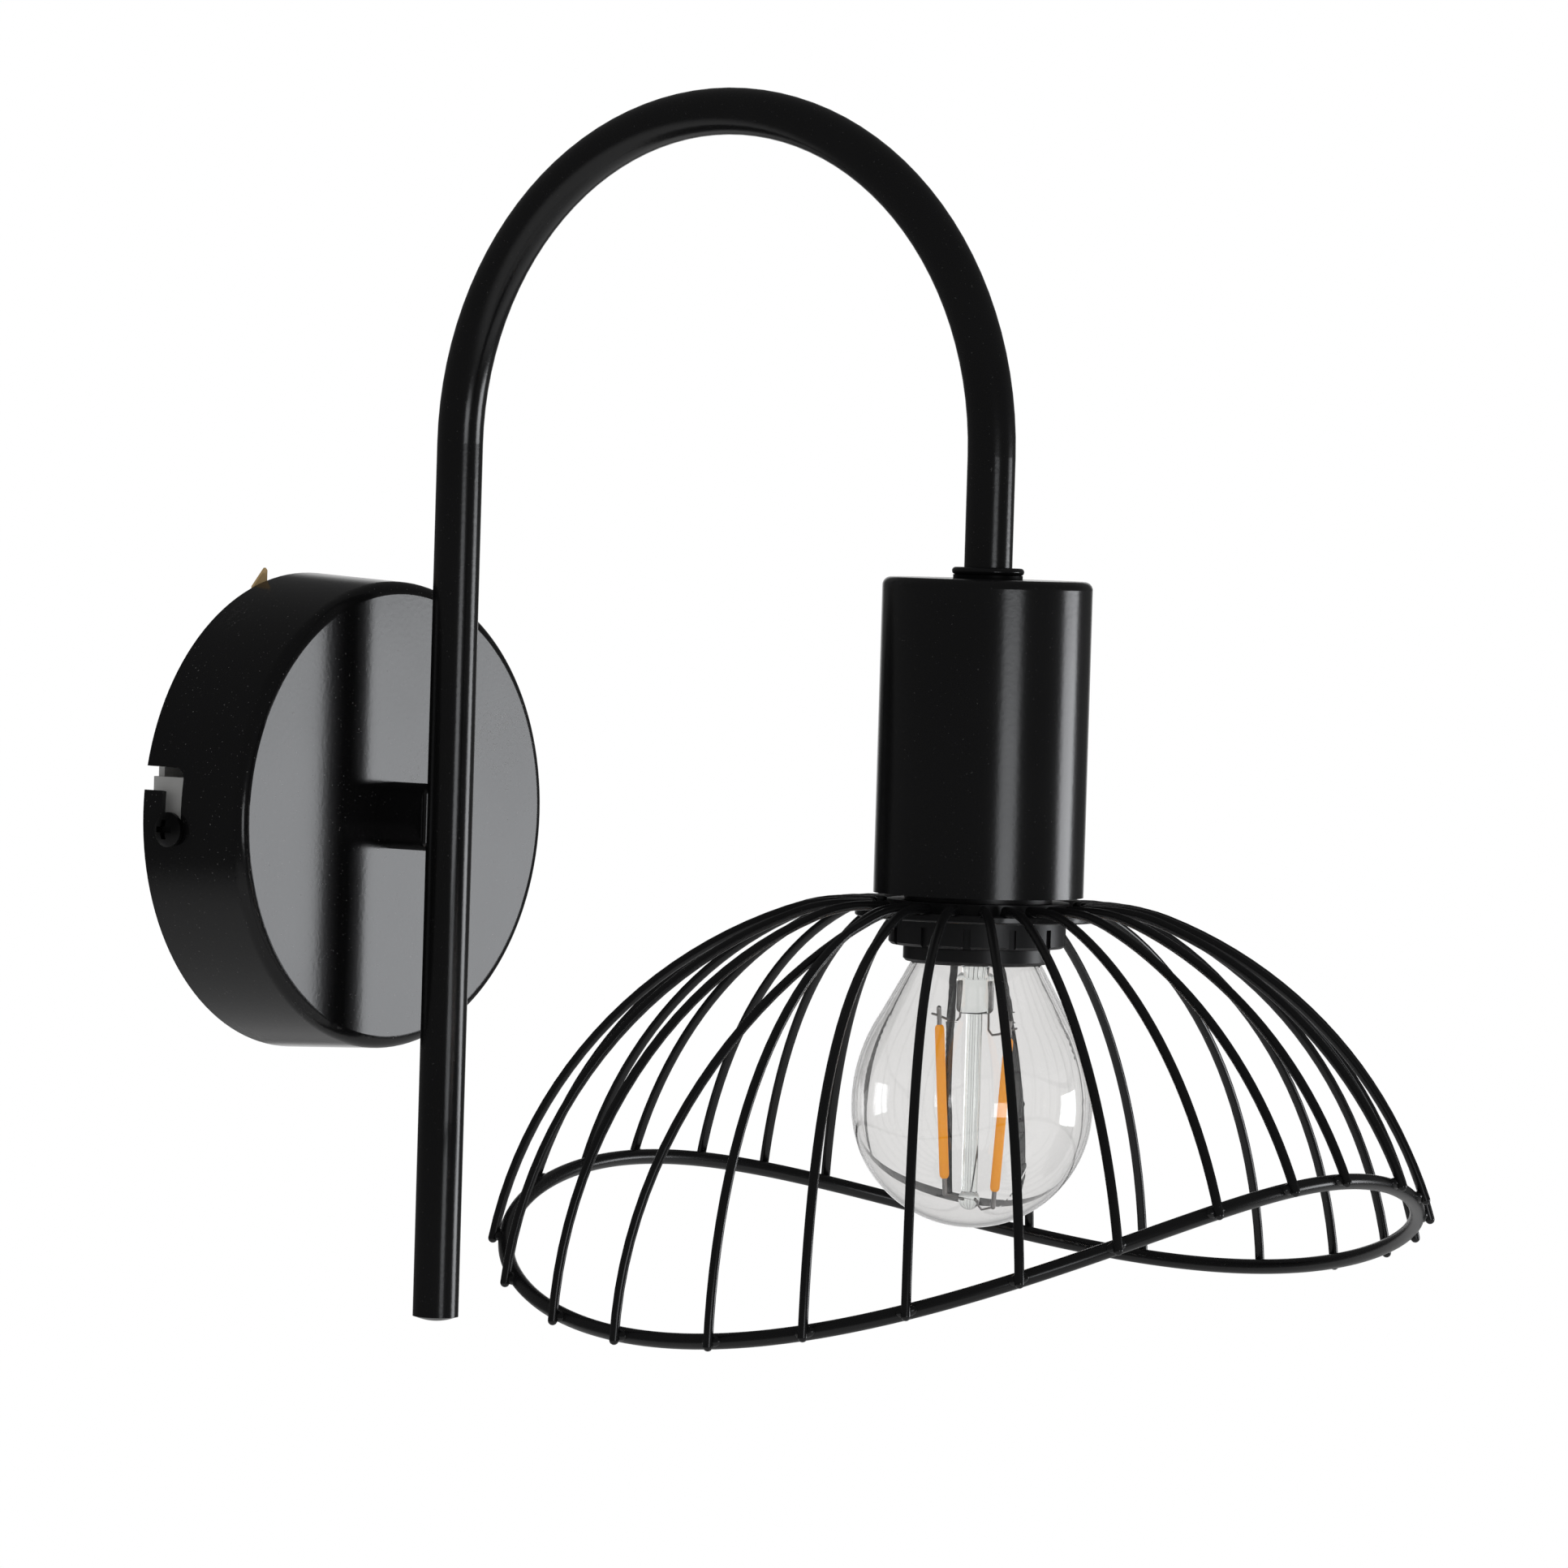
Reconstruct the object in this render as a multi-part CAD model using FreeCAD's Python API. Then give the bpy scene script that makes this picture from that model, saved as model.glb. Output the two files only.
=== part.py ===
"""Cage wall light: round wall cup, bent tube arm, lampholder under a cover, wire cage shade, E14 bulb.

Frame: the wall is the plane y = 0, the light stands out along -Y, +Z is up, and the origin is
the middle of the wall cup.  The shade hangs from a second axis, vertical through (0, SHADE_Y).
Sizes are millimetres.
"""
import FreeCAD, Part
import math
import os

V = FreeCAD.Vector
SMALL = 1e-6
os.makedirs("parts", exist_ok=True)

# ---------------------------------------------------------------- driving dimensions
# wall cup
CUP_BACK_RADIUS = 47.0
CUP_TAPER = 1.2           # how much less the radius is at the front face
CUP_BACK = 1.0            # the rim stands off the wall, for the bracket's wiring tag
CUP_FRONT = 25.3
CUP_WALL = 1.0
CUP_EDGE_RADIUS = 2.5

# bracket behind the cup
BRACKET_WIDTH = 18.4
BRACKET_THICK = 1.5
TAB_WIDTH = 14.0
TAB_NECK = 2.3            # how far each tab's neck stands out of the wide strip
TAB_REACH = 13.0
TAB_CORNER_RADIUS = 3.0
TAB_CLEARANCE = 0.9       # tab corner to the inside of the cup
SLOT_SPACING = 54.0
SLOT_RADIUS = 2.3
SLOT_LENGTH = 12.0
CABLE_HOLE_RADIUS = 4.5
CABLE_HOLE_X = 12.0

# brass wiring tag on the bracket and its screw
TAG_X = -14.3
TAG_UP = 3.4
TAG_THICK = 0.6
TAG_WIDTH = 6.0
TAG_TONGUE_WIDTH = 4.0
TAG_TIP = 47.8            # how far the tongue's point stands from the cup's axis
TAG_SLANT = 3.7           # how much its slanted end falls to the other side
TAG_POINT = 0.5           # bevel of the point
TAG_OFF_WALL = 0.2
TAG_STEP = 1.0            # where the tag steps back to the wall, above the strip's edge
TAG_SCREW_RADIUS = 1.5
TAG_HEAD_RADIUS = 2.9
TAG_HEAD_HEIGHT = 1.8

# side screws and the bayonet slots that they hold the cup by
CUP_SCREW_RADIUS = 2.0
CUP_SCREW_LENGTH = 9.0
CUP_SCREW_OUT = 8.0       # distance of the screw's axis from the wall
CUP_SCREW_RISE = 3.0      # the right screw is this much above the middle, the left one below
CUP_SCREW_HEAD_RADIUS = 3.4
CUP_SCREW_HEAD_HEIGHT = 2.2
BAYONET_SLOT_WIDTH = 4.7
LOCK_TURN = 12.0          # degrees from the way in to the screw's seat

# arm
TUBE_RADIUS = 4.5
TUBE_WALL = 0.8
WALL_LEG_OUT = 39.0       # wall to the arm's wall-side leg
ARM_SPAN = 129.0          # leg to leg
ARCH_SPRING_Z = 73.3      # where both legs run into the arch
LEG_BOTTOM_Z = -97.5
PLUG_RADIUS = 4.3
PLUG_RISE = 0.9
PLUG_LENGTH = 6.0
BOSS_RADIUS = 6.6
BOSS_BITE = 1.5           # how far the boss reaches round the tube
BOSS_BORE = 3.2
STUD_RADIUS = 5.0
STUD_LENGTH = 12.0
BUSH_BORE = 2.3
BUSH_LIP_RADIUS = 4.4
BUSH_LIP = 1.2
BUSH_LENGTH = 5.0
WELD_RADIUS = 0.9
WELD_OUT = 0.35           # middle of the weld, out from the edge between tube and boss

# strap and terminal block inside the cup
STRAP_THICK = 1.0
STRAP_WIDTH = 12.0
STRAP_REACH = 31.0
BLOCK_WIDTH = 15.0
BLOCK_HEIGHT = 15.0
BLOCK_DEPTH = 11.5
BLOCK_UP = 22.0           # middle of the block above the cup's axis
BLOCK_EDGE = 0.8
POLE_SPACING = 7.6
SLEEVE_RADIUS = 2.2
SLEEVE_BORE = 1.6
SLEEVE_LENGTH = 13.0
SLEEVE_DEPTH = 7.15       # block's outer face to the sleeves' axis
CLAMP_SPACING = 8.4
CLAMP_SCREW_RADIUS = 1.2
CLAMP_HEAD_RADIUS = 1.5
CLAMP_HEAD_HEIGHT = 1.9
CLAMP_SLOT_WIDTH = 0.6
CLAMP_SLOT_DEPTH = 1.0
FIXING_SCREW_RADIUS = 1.25
FIXING_HEAD_RADIUS = 2.3
FIXING_HEAD_HEIGHT = 1.4
FIXING_HEAD_DEPTH = 2.6   # block's outer face to the seat of the fixing screw

# collar, cover and the thread that holds them
COVER_RADIUS = 19.6
COVER_WALL = 0.8
COVER_TOP_Z = 50.65
COVER_HEIGHT = 58.75
COVER_EDGE_RADIUS = 1.6
COLLAR_RADIUS = 6.75
COLLAR_THICK = 1.4
LOCK_WASHER_RADIUS = 6.5
LOCK_WASHER_THICK = 0.75
NIPPLE_RADIUS = 5.0
NIPPLE_BORE = 3.3
NIPPLE_LENGTH = 22.4
SPIGOT_LENGTH = 6.0
SPIGOT_BORE = 2.6
NUT_ACROSS_FLATS = 14.0
NUT_HEIGHT = 3.0
WASHER_THICK = 0.7
WASHER_RADIUS = 8.0
WASHER_TEETH = 12
WASHER_NOTCH = 1.1        # depth of the gaps between teeth
WASHER_NOTCH_WIDTH = 0.9

# lampholder
HOLDER_THREAD_RADIUS = 14.0
HOLDER_CORE_RADIUS = 13.2
RING_PITCH = 2.0
RING_RIDGE_WIDTH = 1.3
MOULDED_CHAMFER = 0.5
HOLDER_FLANGE_RADIUS = 17.0
HOLDER_FLANGE_THICK = 1.8
HOLDER_MOUTH_RADIUS = 13.7
MOUTH_LIP = 2.8
MOUTH_BORE = 12.6
MOUTH_DEPTH = 5.2
HOLDER_BODY_RADIUS = 13.8
HOLDER_FLOOR_Z = 8.0      # under side of the plate that carries the contacts
FLOOR_THICK = 3.0
CAP_RADIUS = 14.4
CAP_WALL = 1.8
CAP_SHOULDER_Z = 22.0
CAP_SHOULDER_RISE = 7.0   # shoulder to the neck
CAP_ROUND = 2.0           # how far the round shoulder has come in at two thirds of its rise
CAP_NECK_RADIUS = 7.6
CAP_TOP_Z = 38.0
CONTACT_WIDTH = 3.0
CONTACT_THICK = 0.4
CONTACT_REACH = 5.5
RIVET_RADIUS = 1.55
TERMINAL_SPACING = 13.0
TERMINAL_SIZE = 4.0
TERMINAL_HEIGHT = 6.5
TERMINAL_PEG_RADIUS = 1.0
TERMINAL_PEG = 2.4
TERMINAL_SCREW_UP = 4.0   # clamp screw above the floor
TERMINAL_HEAD_RADIUS = 1.8
TERMINAL_HEAD_HEIGHT = 1.3

# shade
DISC_RADIUS = 22.9
DISC_THICK = 1.5
DISC_TOP_Z = -11.0
DISC_EDGE_RADIUS = 0.35
DISC_HOLE_CLEARANCE = 0.3
WIRE_COUNT = 28
WIRE_PHASE = 4.0          # degrees from straight out to the first wire
WIRES_SET_OFF = (-2, 1, 0, -1, -3, -6, -7, -7, -3, -1, -3, 0, -4, -7,
                 -8, -11, -11, -2, 0, 2, 1, 2, 1, 0, 0, -1, 0, 0)  # hand welding, degrees off an even spacing
WIRE_RADIUS = 0.9
WIRE_START_RADIUS = 20.6
WIRE_FLAT_END = 25.2      # radius where a wire leaves the flat
KNEE_RADIUS = 30.2        # first, tight bend of a wire
KNEE_TURN = 20.0          # degrees
SWEEP_RADIUS = 82.6       # second, wide bend of a wire
RIM_RADIUS = 1.45
RIM_MEAN_Z = -71.4
RIM_WAVE = 12.6           # the rim rises this much front and back, and dips as much at the sides
RIM_LEAN = 4.2            # the whole rim is higher by this on one side and lower on the other
RIM_LEAN_TURN = 30.0      # degrees from straight out to its higher side
WIRE_PAST_RIM = 0.9
RIM_SPANS = 16

# shade ring
RING_RADIUS = 16.5
RING_HEIGHT = 5.1
RING_GROOVES = 12
RING_GROOVE_WIDTH = 1.4
RING_GROOVE_DEPTH = 0.6

# bulb
BULB_RADIUS = 22.5
BULB_CENTRE_Z = -47.7
BULB_SHOULDER_RADIUS = 32.0
BULB_SHOULDER_RISE = 17.0  # middle of the ball to the end of its shoulder
GLASS_WALL = 0.7
NECK_RADIUS = 12.2
NECK_Z = -20.9
NECK_ROUND_IN = 0.9       # the middle of the round from the neck into the cap
NECK_ROUND_UP = 2.1
GLASS_IN_SHELL = 3.2
CAP_TIP_Z = 5.8
SHELL_CREST_RADIUS = 6.95
SHELL_CORE_RADIUS = 6.45
SHELL_WALL = 0.35
SHELL_THREAD_TOP_Z = 1.4
SHELL_THREAD_BOTTOM_Z = -8.6
SHELL_FLARE_RADIUS = 8.4
SHELL_BOTTOM_Z = -16.5
SHELL_PITCH = 2.822
SHELL_RIDGE_WIDTH = 1.9
SHELL_LIP_RISE = 0.8      # top of the thread to the shell's closed-in end
SHELL_LIP_IN = 1.2
SHELL_WAIST = 1.4         # last thread to the start of the flare
SHELL_FLARE_HEIGHT = 3.0
PIP_RADIUS = 2.4
PIP_HEIGHT = 1.2
INSULATOR_EDGE = 1.0      # dark glass showing round the tip
FILAMENT_SPREAD = 5.6
FILAMENT_TURN = -52.0     # degrees, plane of the two filaments
FILAMENT_TOP_Z = -32.0
FILAMENT_LENGTH = 29.0
FILAMENT_WIDTH = 1.8
FILAMENT_SPLAY = 0.9      # each leans out this much above its middle, and in as much below
FILAMENT_STAGGER = 3.2    # one hangs this much lower than the other
FILAMENT_THICK = 0.9
ROD_RADIUS = 1.5
ROD_BEAD_RADIUS = 2.0
ROD_BOTTOM_Z = -65.0
SUPPORT_RADIUS = 0.25
STEM_TOP_Z = -14.5
STEM_TOP_RADIUS = 6.4
STEM_RADIUS = 2.6
STEM_BOTTOM_Z = -24.0
STEM_FLARE_OUT = 1.0      # a point part way down the stem's flare
STEM_FLARE_DOWN = 3.5
PRESS_BOTTOM_Z = -30.5
PRESS_WIDTH = 7.0
PRESS_THICK = 3.0
PRESS_EDGE = 1.2
DRIVER_TOP_Z = 0.5
DRIVER_LENGTH = 8.5
DRIVER_WIDTH = 8.4
DRIVER_THICK = 1.0
CHIP_SIZE = 3.0
CHIP_THICK = 1.1
CAPACITOR_RADIUS = 1.5
CAPACITOR_LENGTH = 5.0

# wiring
LEAD_RADIUS = 0.75
LEAD_SPACING = 1.8        # live to neutral, inside the tube
LEAD_DROP = 1.2           # below the stud's axis, to turn up into the tube in a wide bend
LEAD_TURN_RADIUS = 7.5    # that bend
LEAD_TUCK = 7.5           # distance from the wall where the leads cross behind the stud
LEAD_LOOP_UP = 10.0
LEAD_START_UP = 26.0
LEAD_FAN = 11.0           # height above the holder's floor where the leads part to their terminals

# clearances
RUNNING = 0.15            # round the threads that turn
RIDGE_SINK = 0.4          # how deep a thread's ridge goes into its core
RING_TO_LIP = 0.25        # shade ring to the lip round the lampholder's mouth
FIT = 0.05                # plugs and bores that are pushed together
CONTACT_GAP = 0.05

# ---------------------------------------------------------------- sizes that follow
SHADE_Y = -(WALL_LEG_OUT + ARM_SPAN)
ARCH_RADIUS = ARM_SPAN / 2
TUBE_BORE = TUBE_RADIUS - TUBE_WALL
LOCK_WASHER_Z = COVER_TOP_Z
COLLAR_Z = LOCK_WASHER_Z + LOCK_WASHER_THICK
ARM_END_Z = COLLAR_Z + COLLAR_THICK
NIPPLE_END_Z = COLLAR_Z - NIPPLE_LENGTH
COVER_BOTTOM_Z = COVER_TOP_Z - COVER_HEIGHT
COVER_INSIDE_Z = COVER_TOP_Z - COVER_WALL
DISC_Z = DISC_TOP_Z - DISC_THICK
FLANGE_TOP_Z = DISC_TOP_Z + HOLDER_FLANGE_THICK
RING_BOTTOM_Z = DISC_Z - RING_HEIGHT
LIP_TOP_Z = RING_BOTTOM_Z - RING_TO_LIP
MOUTH_Z = LIP_TOP_Z - MOUTH_LIP
RING_BORE = HOLDER_THREAD_RADIUS + RUNNING
FLOOR_TOP_Z = HOLDER_FLOOR_Z + FLOOR_THICK
SOCKET_BORE = SHELL_CREST_RADIUS + 2 * RUNNING
WIRE_Z = DISC_TOP_Z + WIRE_RADIUS
CUP_INSIDE = CUP_FRONT - CUP_WALL
STUD_END = CUP_FRONT - STUD_LENGTH
STRAP_FACE = CUP_INSIDE - STRAP_THICK
BOSS_WASHER_FACE = STRAP_FACE - WASHER_THICK
BLOCK_FACE = STRAP_FACE - BLOCK_DEPTH
SLEEVE_OUT = BLOCK_FACE + SLEEVE_DEPTH
FIXING_SEAT = BLOCK_FACE + FIXING_HEAD_DEPTH
CUP_DRAFT = CUP_TAPER / (CUP_FRONT - CUP_BACK)


def cup_radius(out):
    """Outer radius of the cup at a distance from the wall."""
    return CUP_BACK_RADIUS - CUP_DRAFT * (out - CUP_BACK)


TAB_FAR_CORNER = cup_radius(TAB_REACH) - CUP_WALL - TAB_CLEARANCE
TAB_OUT_X = math.sqrt(TAB_FAR_CORNER ** 2 - (TAB_WIDTH / 2) ** 2)
SCREW_ANGLE = math.degrees(math.asin(CUP_SCREW_RISE / cup_radius(CUP_SCREW_OUT)))


# ---------------------------------------------------------------- helpers
def outline(points):
    """Closed wire through points (x, z); a pair of points is an arc through the first to the second."""
    edges = []
    start = V(points[0][0], 0, points[0][1])
    here = start
    for step in list(points[1:]) + [points[0]]:
        if isinstance(step[0], tuple):
            middle = V(step[0][0], 0, step[0][1])
            end = V(step[1][0], 0, step[1][1])
            edges.append(Part.Arc(here, middle, end).toShape())
        else:
            end = V(step[0], 0, step[1])
            if (end - here).Length > SMALL:
                edges.append(Part.LineSegment(here, end).toShape())
        here = end
    return Part.Wire(edges)


def turned(points):
    """Solid of revolution about the local Z axis from an outline of (radius, height) points."""
    return Part.Face(outline(points)).revolve(V(0, 0, 0), V(0, 0, 1), 360)


def dome(radius, base, top):
    """Arc of a spherical cap from (radius, base) to (0, top): its middle point and its end."""
    sphere = (radius ** 2 + (top - base) ** 2) / (2 * (top - base))
    half = math.asin(radius / abs(sphere)) / 2
    middle = (abs(sphere) * math.sin(half), top - sphere + sphere * math.cos(half))
    return (middle, (0, top))


def rod(radius, bottom, top, x=0.0, y=0.0):
    """Upright cylinder between two heights."""
    return Part.makeCylinder(radius, top - bottom, V(x, y, bottom), V(0, 0, 1))


def ring(radius, bore, bottom, top):
    """Flat ring between two heights."""
    return rod(radius, bottom, top).cut(rod(bore, bottom, top))


def block(low, high):
    """Box between two corners."""
    size = [b - a for a, b in zip(low, high)]
    return Part.makeBox(size[0], size[1], size[2], V(*low))


def at_shade(shape):
    """Move a shape from the local Z axis to the shade's axis."""
    shape.translate(V(0, SHADE_Y, 0))
    return shape


def from_wall(shape):
    """Turn a shape drawn as (x, up, out from the wall) into the frame."""
    shape.rotate(V(0, 0, 0), V(1, 0, 0), 90)
    return shape


def turned_about(shape, angle):
    """Turn a shape about the local Z axis."""
    shape.rotate(V(0, 0, 0), V(0, 0, 1), angle)
    return shape


def edges_where(shape, test):
    """Edges of a shape whose bounding box passes a test."""
    return [edge for edge in shape.Edges if test(edge.BoundBox)]


def hexagon(across_flats, bottom, top):
    """Upright hexagonal prism."""
    corner = across_flats / 2 / math.cos(math.pi / 6)
    points = [V(corner * math.cos(k * math.pi / 3), corner * math.sin(k * math.pi / 3), bottom)
              for k in range(7)]
    return Part.Face(Part.makePolygon(points)).extrude(V(0, 0, top - bottom))


def pipe(edges, radius):
    """Round bar of a radius along a chain of tangent edges."""
    path = Part.Wire(edges)
    start = edges[0].valueAt(edges[0].FirstParameter)
    along = edges[0].tangentAt(edges[0].FirstParameter)
    section = Part.Wire(Part.Circle(start, along, radius).toShape())
    shell = Part.BRepOffsetAPI.MakePipeShell(path)
    shell.add(section)
    shell.build()
    shell.makeSolid()
    return shell.shape()


def route(points, bend_share=0.45):
    """Straight runs through points, joined by tangent arcs as large as the runs allow."""
    edges = []
    here = points[0]
    for before, corner, after in zip(points, points[1:], points[2:]):
        back = before - corner
        ahead = after - corner
        reach = bend_share * min(back.Length, ahead.Length)
        back.normalize()
        ahead.normalize()
        half = back.getAngle(ahead) / 2
        start = corner + back * reach
        end = corner + ahead * reach
        centre_way = back + ahead
        centre_way.normalize()
        radius = reach * math.tan(half)
        middle = corner + centre_way * (reach / math.cos(half) - radius)
        edges.append(Part.LineSegment(here, start).toShape())
        edges.append(Part.Arc(start, middle, end).toShape())
        here = end
        print("   bend radius %.1f" % radius)
    edges.append(Part.LineSegment(here, points[-1]).toShape())
    return edges


def thread_ridge(crest, root, pitch, bottom, top, width):
    """Rounded helical ridge, to be fused with its core."""
    sink = root - RIDGE_SINK
    path = Part.makeHelix(pitch, top - bottom, sink)
    path.translate(V(0, 0, bottom))
    low = V(sink, 0, bottom - width / 2)
    tip = V(crest, 0, bottom)
    high = V(sink, 0, bottom + width / 2)
    section = Part.Wire([Part.Arc(low, tip, high).toShape(), Part.LineSegment(high, low).toShape()])
    ridge = Part.BRepOffsetAPI.MakePipeShell(Part.Wire(path))
    ridge.setFrenetMode(True)
    ridge.add(section)
    ridge.build()
    ridge.makeSolid()
    return ridge.shape()


def cross_recess(radius, depth, top):
    """Cutter for a crosshead recess, in a head whose top is at a height."""
    arm = radius * 0.3
    bars = block((-radius, -arm, top - depth), (radius, arm, top))
    return bars.fuse(block((-arm, -radius, top - depth), (arm, radius, top)))


def slot_recess(radius, width, depth, top):
    """Cutter for a straight screwdriver slot."""
    return block((-radius, -width / 2, top - depth), (radius, width / 2, top))


def pan_screw(radius, length, head_radius, head_height):
    """Pan-head crosshead screw: shank down from z = 0, head above."""
    edge = head_height * 0.35
    head = turned([(0, 0), (head_radius, 0), (head_radius, edge), dome(head_radius, edge, head_height)])
    head = head.cut(cross_recess(head_radius * 0.55, head_height * 0.6, head_height))
    return head.fuse(rod(radius, -length, 0)).removeSplitter()


def slotted_screw(radius, length, head_radius, head_height):
    """Cheese-head slotted screw: shank down from z = 0, head above."""
    head = rod(head_radius, 0, head_height)
    head = head.cut(slot_recess(head_radius + 1, head_radius * 0.3, head_height * 0.5, head_height))
    return head.fuse(rod(radius, -length, 0)).removeSplitter()


def save(name, *solids):
    """Write one node, which may hold several alike solids."""
    shape = solids[0] if len(solids) == 1 else Part.makeCompound(list(solids))
    found = shape.Solids
    sound = all(solid.isValid() and solid.Volume > 0 for solid in found)
    print("%-24s solids %2d  volume %10.1f  %s" % (name, len(found), shape.Volume, "ok" if sound else "BAD"))
    shape.exportStep("parts/%s.step" % name)


# ---------------------------------------------------------------- wall bracket and what is on it
def wall_bracket():
    """Pressed strip with a tab bent out at each end, two long wall slots and a cable hole."""
    half = BRACKET_WIDTH / 2
    half_tab = TAB_WIDTH / 2
    shoulder = TAB_OUT_X - TAB_NECK
    strip = block((-shoulder, -half, 0), (shoulder, half, BRACKET_THICK))
    necks = block((-TAB_OUT_X, -half_tab, 0), (TAB_OUT_X, half_tab, BRACKET_THICK))
    tab = block((TAB_OUT_X - BRACKET_THICK, -half_tab, 0), (TAB_OUT_X, half_tab, TAB_REACH))
    shape = strip.fuse([necks, tab, turned_about(tab.copy(), 180)]).removeSplitter()
    bends = edges_where(shape, lambda b: b.ZMax < SMALL and b.XLength < SMALL and abs(b.XMin) > shoulder + SMALL)
    shape = shape.makeFillet(BRACKET_THICK, bends)
    corners = edges_where(shape, lambda b: b.ZMin > TAB_REACH - SMALL and b.YLength < SMALL)
    shape = shape.makeFillet(TAB_CORNER_RADIUS, corners)
    for side in (-1, 1):
        start = V(side * (TAB_OUT_X + 1), side * CUP_SCREW_RISE, CUP_SCREW_OUT)
        shape = shape.cut(Part.makeCylinder(CUP_SCREW_RADIUS, BRACKET_THICK + 2, start, V(-side, 0, 0)))
        shape = shape.cut(wall_slot(side * SLOT_SPACING / 2))
    shape = shape.cut(rod(CABLE_HOLE_RADIUS, -1, 2 * BRACKET_THICK, CABLE_HOLE_X))
    return shape.cut(rod(TAG_SCREW_RADIUS, -1, 2 * BRACKET_THICK, TAG_X, TAG_UP))


def wall_slot(x):
    """Cutter for one wall slot: straight, with round ends, across the strip's length."""
    reach = SLOT_LENGTH / 2 - SLOT_RADIUS
    cutter = block((x - reach, -SLOT_RADIUS, -1), (x + reach, SLOT_RADIUS, 2 * BRACKET_THICK))
    cutter = cutter.fuse(rod(SLOT_RADIUS, -1, 2 * BRACKET_THICK, x - reach))
    return cutter.fuse(rod(SLOT_RADIUS, -1, 2 * BRACKET_THICK, x + reach)).removeSplitter()


def cup_screws():
    """The two side screws, each in its tab, heads outside the cup."""
    seat = cup_radius(CUP_SCREW_OUT - CUP_SCREW_HEAD_RADIUS) + RUNNING
    screws = []
    for side in (-1, 1):
        screw = pan_screw(CUP_SCREW_RADIUS, CUP_SCREW_LENGTH, CUP_SCREW_HEAD_RADIUS, CUP_SCREW_HEAD_HEIGHT)
        screw.rotate(V(0, 0, 0), V(0, 1, 0), side * 90)
        screw.translate(V(side * seat, side * CUP_SCREW_RISE, CUP_SCREW_OUT))
        screws.append(screw)
    return screws


def earth_tag():
    """Brass tag under the earth screw: it steps back to the wall, and its tongue passes the cup's rim."""
    left = TAG_X - TAG_WIDTH / 2
    right = TAG_X + TAG_WIDTH / 2
    foot_top = BRACKET_THICK + TAG_THICK
    step = BRACKET_WIDTH / 2 + TAG_STEP
    tongue_left = TAG_X - TAG_TONGUE_WIDTH / 2
    tongue_right = TAG_X + TAG_TONGUE_WIDTH / 2
    foot = block((left, TAG_UP - TAG_WIDTH / 2, BRACKET_THICK), (right, step, foot_top))
    riser = block((left, step, TAG_OFF_WALL), (right, step + TAG_THICK, foot_top))
    corners = [(tongue_left, step), (tongue_right, step), (tongue_right, TAG_TIP - TAG_POINT),
               (tongue_right - TAG_POINT, TAG_TIP), (tongue_left, TAG_TIP - TAG_SLANT), (tongue_left, step)]
    tongue = Part.Face(Part.makePolygon([V(x, up, TAG_OFF_WALL) for x, up in corners]))
    tag = foot.fuse([riser, tongue.extrude(V(0, 0, TAG_THICK))]).removeSplitter()
    return tag.cut(rod(TAG_SCREW_RADIUS, 0, 2 * foot_top, TAG_X, TAG_UP))


def earth_screw():
    """Slotted brass screw that clamps the tag to the bracket."""
    seat = BRACKET_THICK + TAG_THICK
    screw = slotted_screw(TAG_SCREW_RADIUS, seat - TAG_OFF_WALL, TAG_HEAD_RADIUS, TAG_HEAD_HEIGHT)
    screw.translate(V(TAG_X, TAG_UP, seat))
    return screw


# ---------------------------------------------------------------- wall cup
def canopy():
    """Deep-drawn cup with a rounded front edge, a middle hole and two L-shaped bayonet slots."""
    edge = CUP_EDGE_RADIUS
    inner_edge = edge - CUP_WALL
    bend = 1 - math.sqrt(0.5)
    side_z = CUP_FRONT - edge
    outer = cup_radius(side_z)
    profile = [(STUD_RADIUS + FIT, CUP_FRONT), (outer - edge, CUP_FRONT),
               ((outer - edge * bend, CUP_FRONT - edge * bend), (outer, side_z)),
               (CUP_BACK_RADIUS, CUP_BACK), (CUP_BACK_RADIUS - CUP_WALL, CUP_BACK),
               (outer - CUP_WALL, side_z),
               ((outer - CUP_WALL - inner_edge * bend, CUP_INSIDE - inner_edge * bend),
                (outer - edge, CUP_INSIDE)),
               (STUD_RADIUS + FIT, CUP_INSIDE)]
    cup = turned(profile)
    for side in (0, 180):
        cup = cup.cut(turned_about(bayonet_slot(), side))
    return cup


def bayonet_slot():
    """Cutter on the +X side: a way in from the rim, then a turn down to the screw's seat."""
    half = BAYONET_SLOT_WIDTH / 2
    inside = cup_radius(CUP_SCREW_OUT) - 3 * CUP_WALL
    outside = CUP_BACK_RADIUS + CUP_WALL
    run = Part.Face(outline([(inside, CUP_SCREW_OUT - half), (outside, CUP_SCREW_OUT - half),
                             (outside, CUP_SCREW_OUT + half), (inside, CUP_SCREW_OUT + half)]))
    run = run.revolve(V(0, 0, 0), V(0, 0, 1), -LOCK_TURN)
    ends = Part.makeCylinder(half, outside - inside, V(inside, 0, CUP_SCREW_OUT), V(1, 0, 0))
    way_in = block((inside, -half, 0), (outside, half, CUP_SCREW_OUT))
    way_in = way_in.fuse(ends)
    cutter = run.fuse([ends, turned_about(way_in, -LOCK_TURN)])
    return turned_about(cutter, SCREW_ANGLE)


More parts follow.
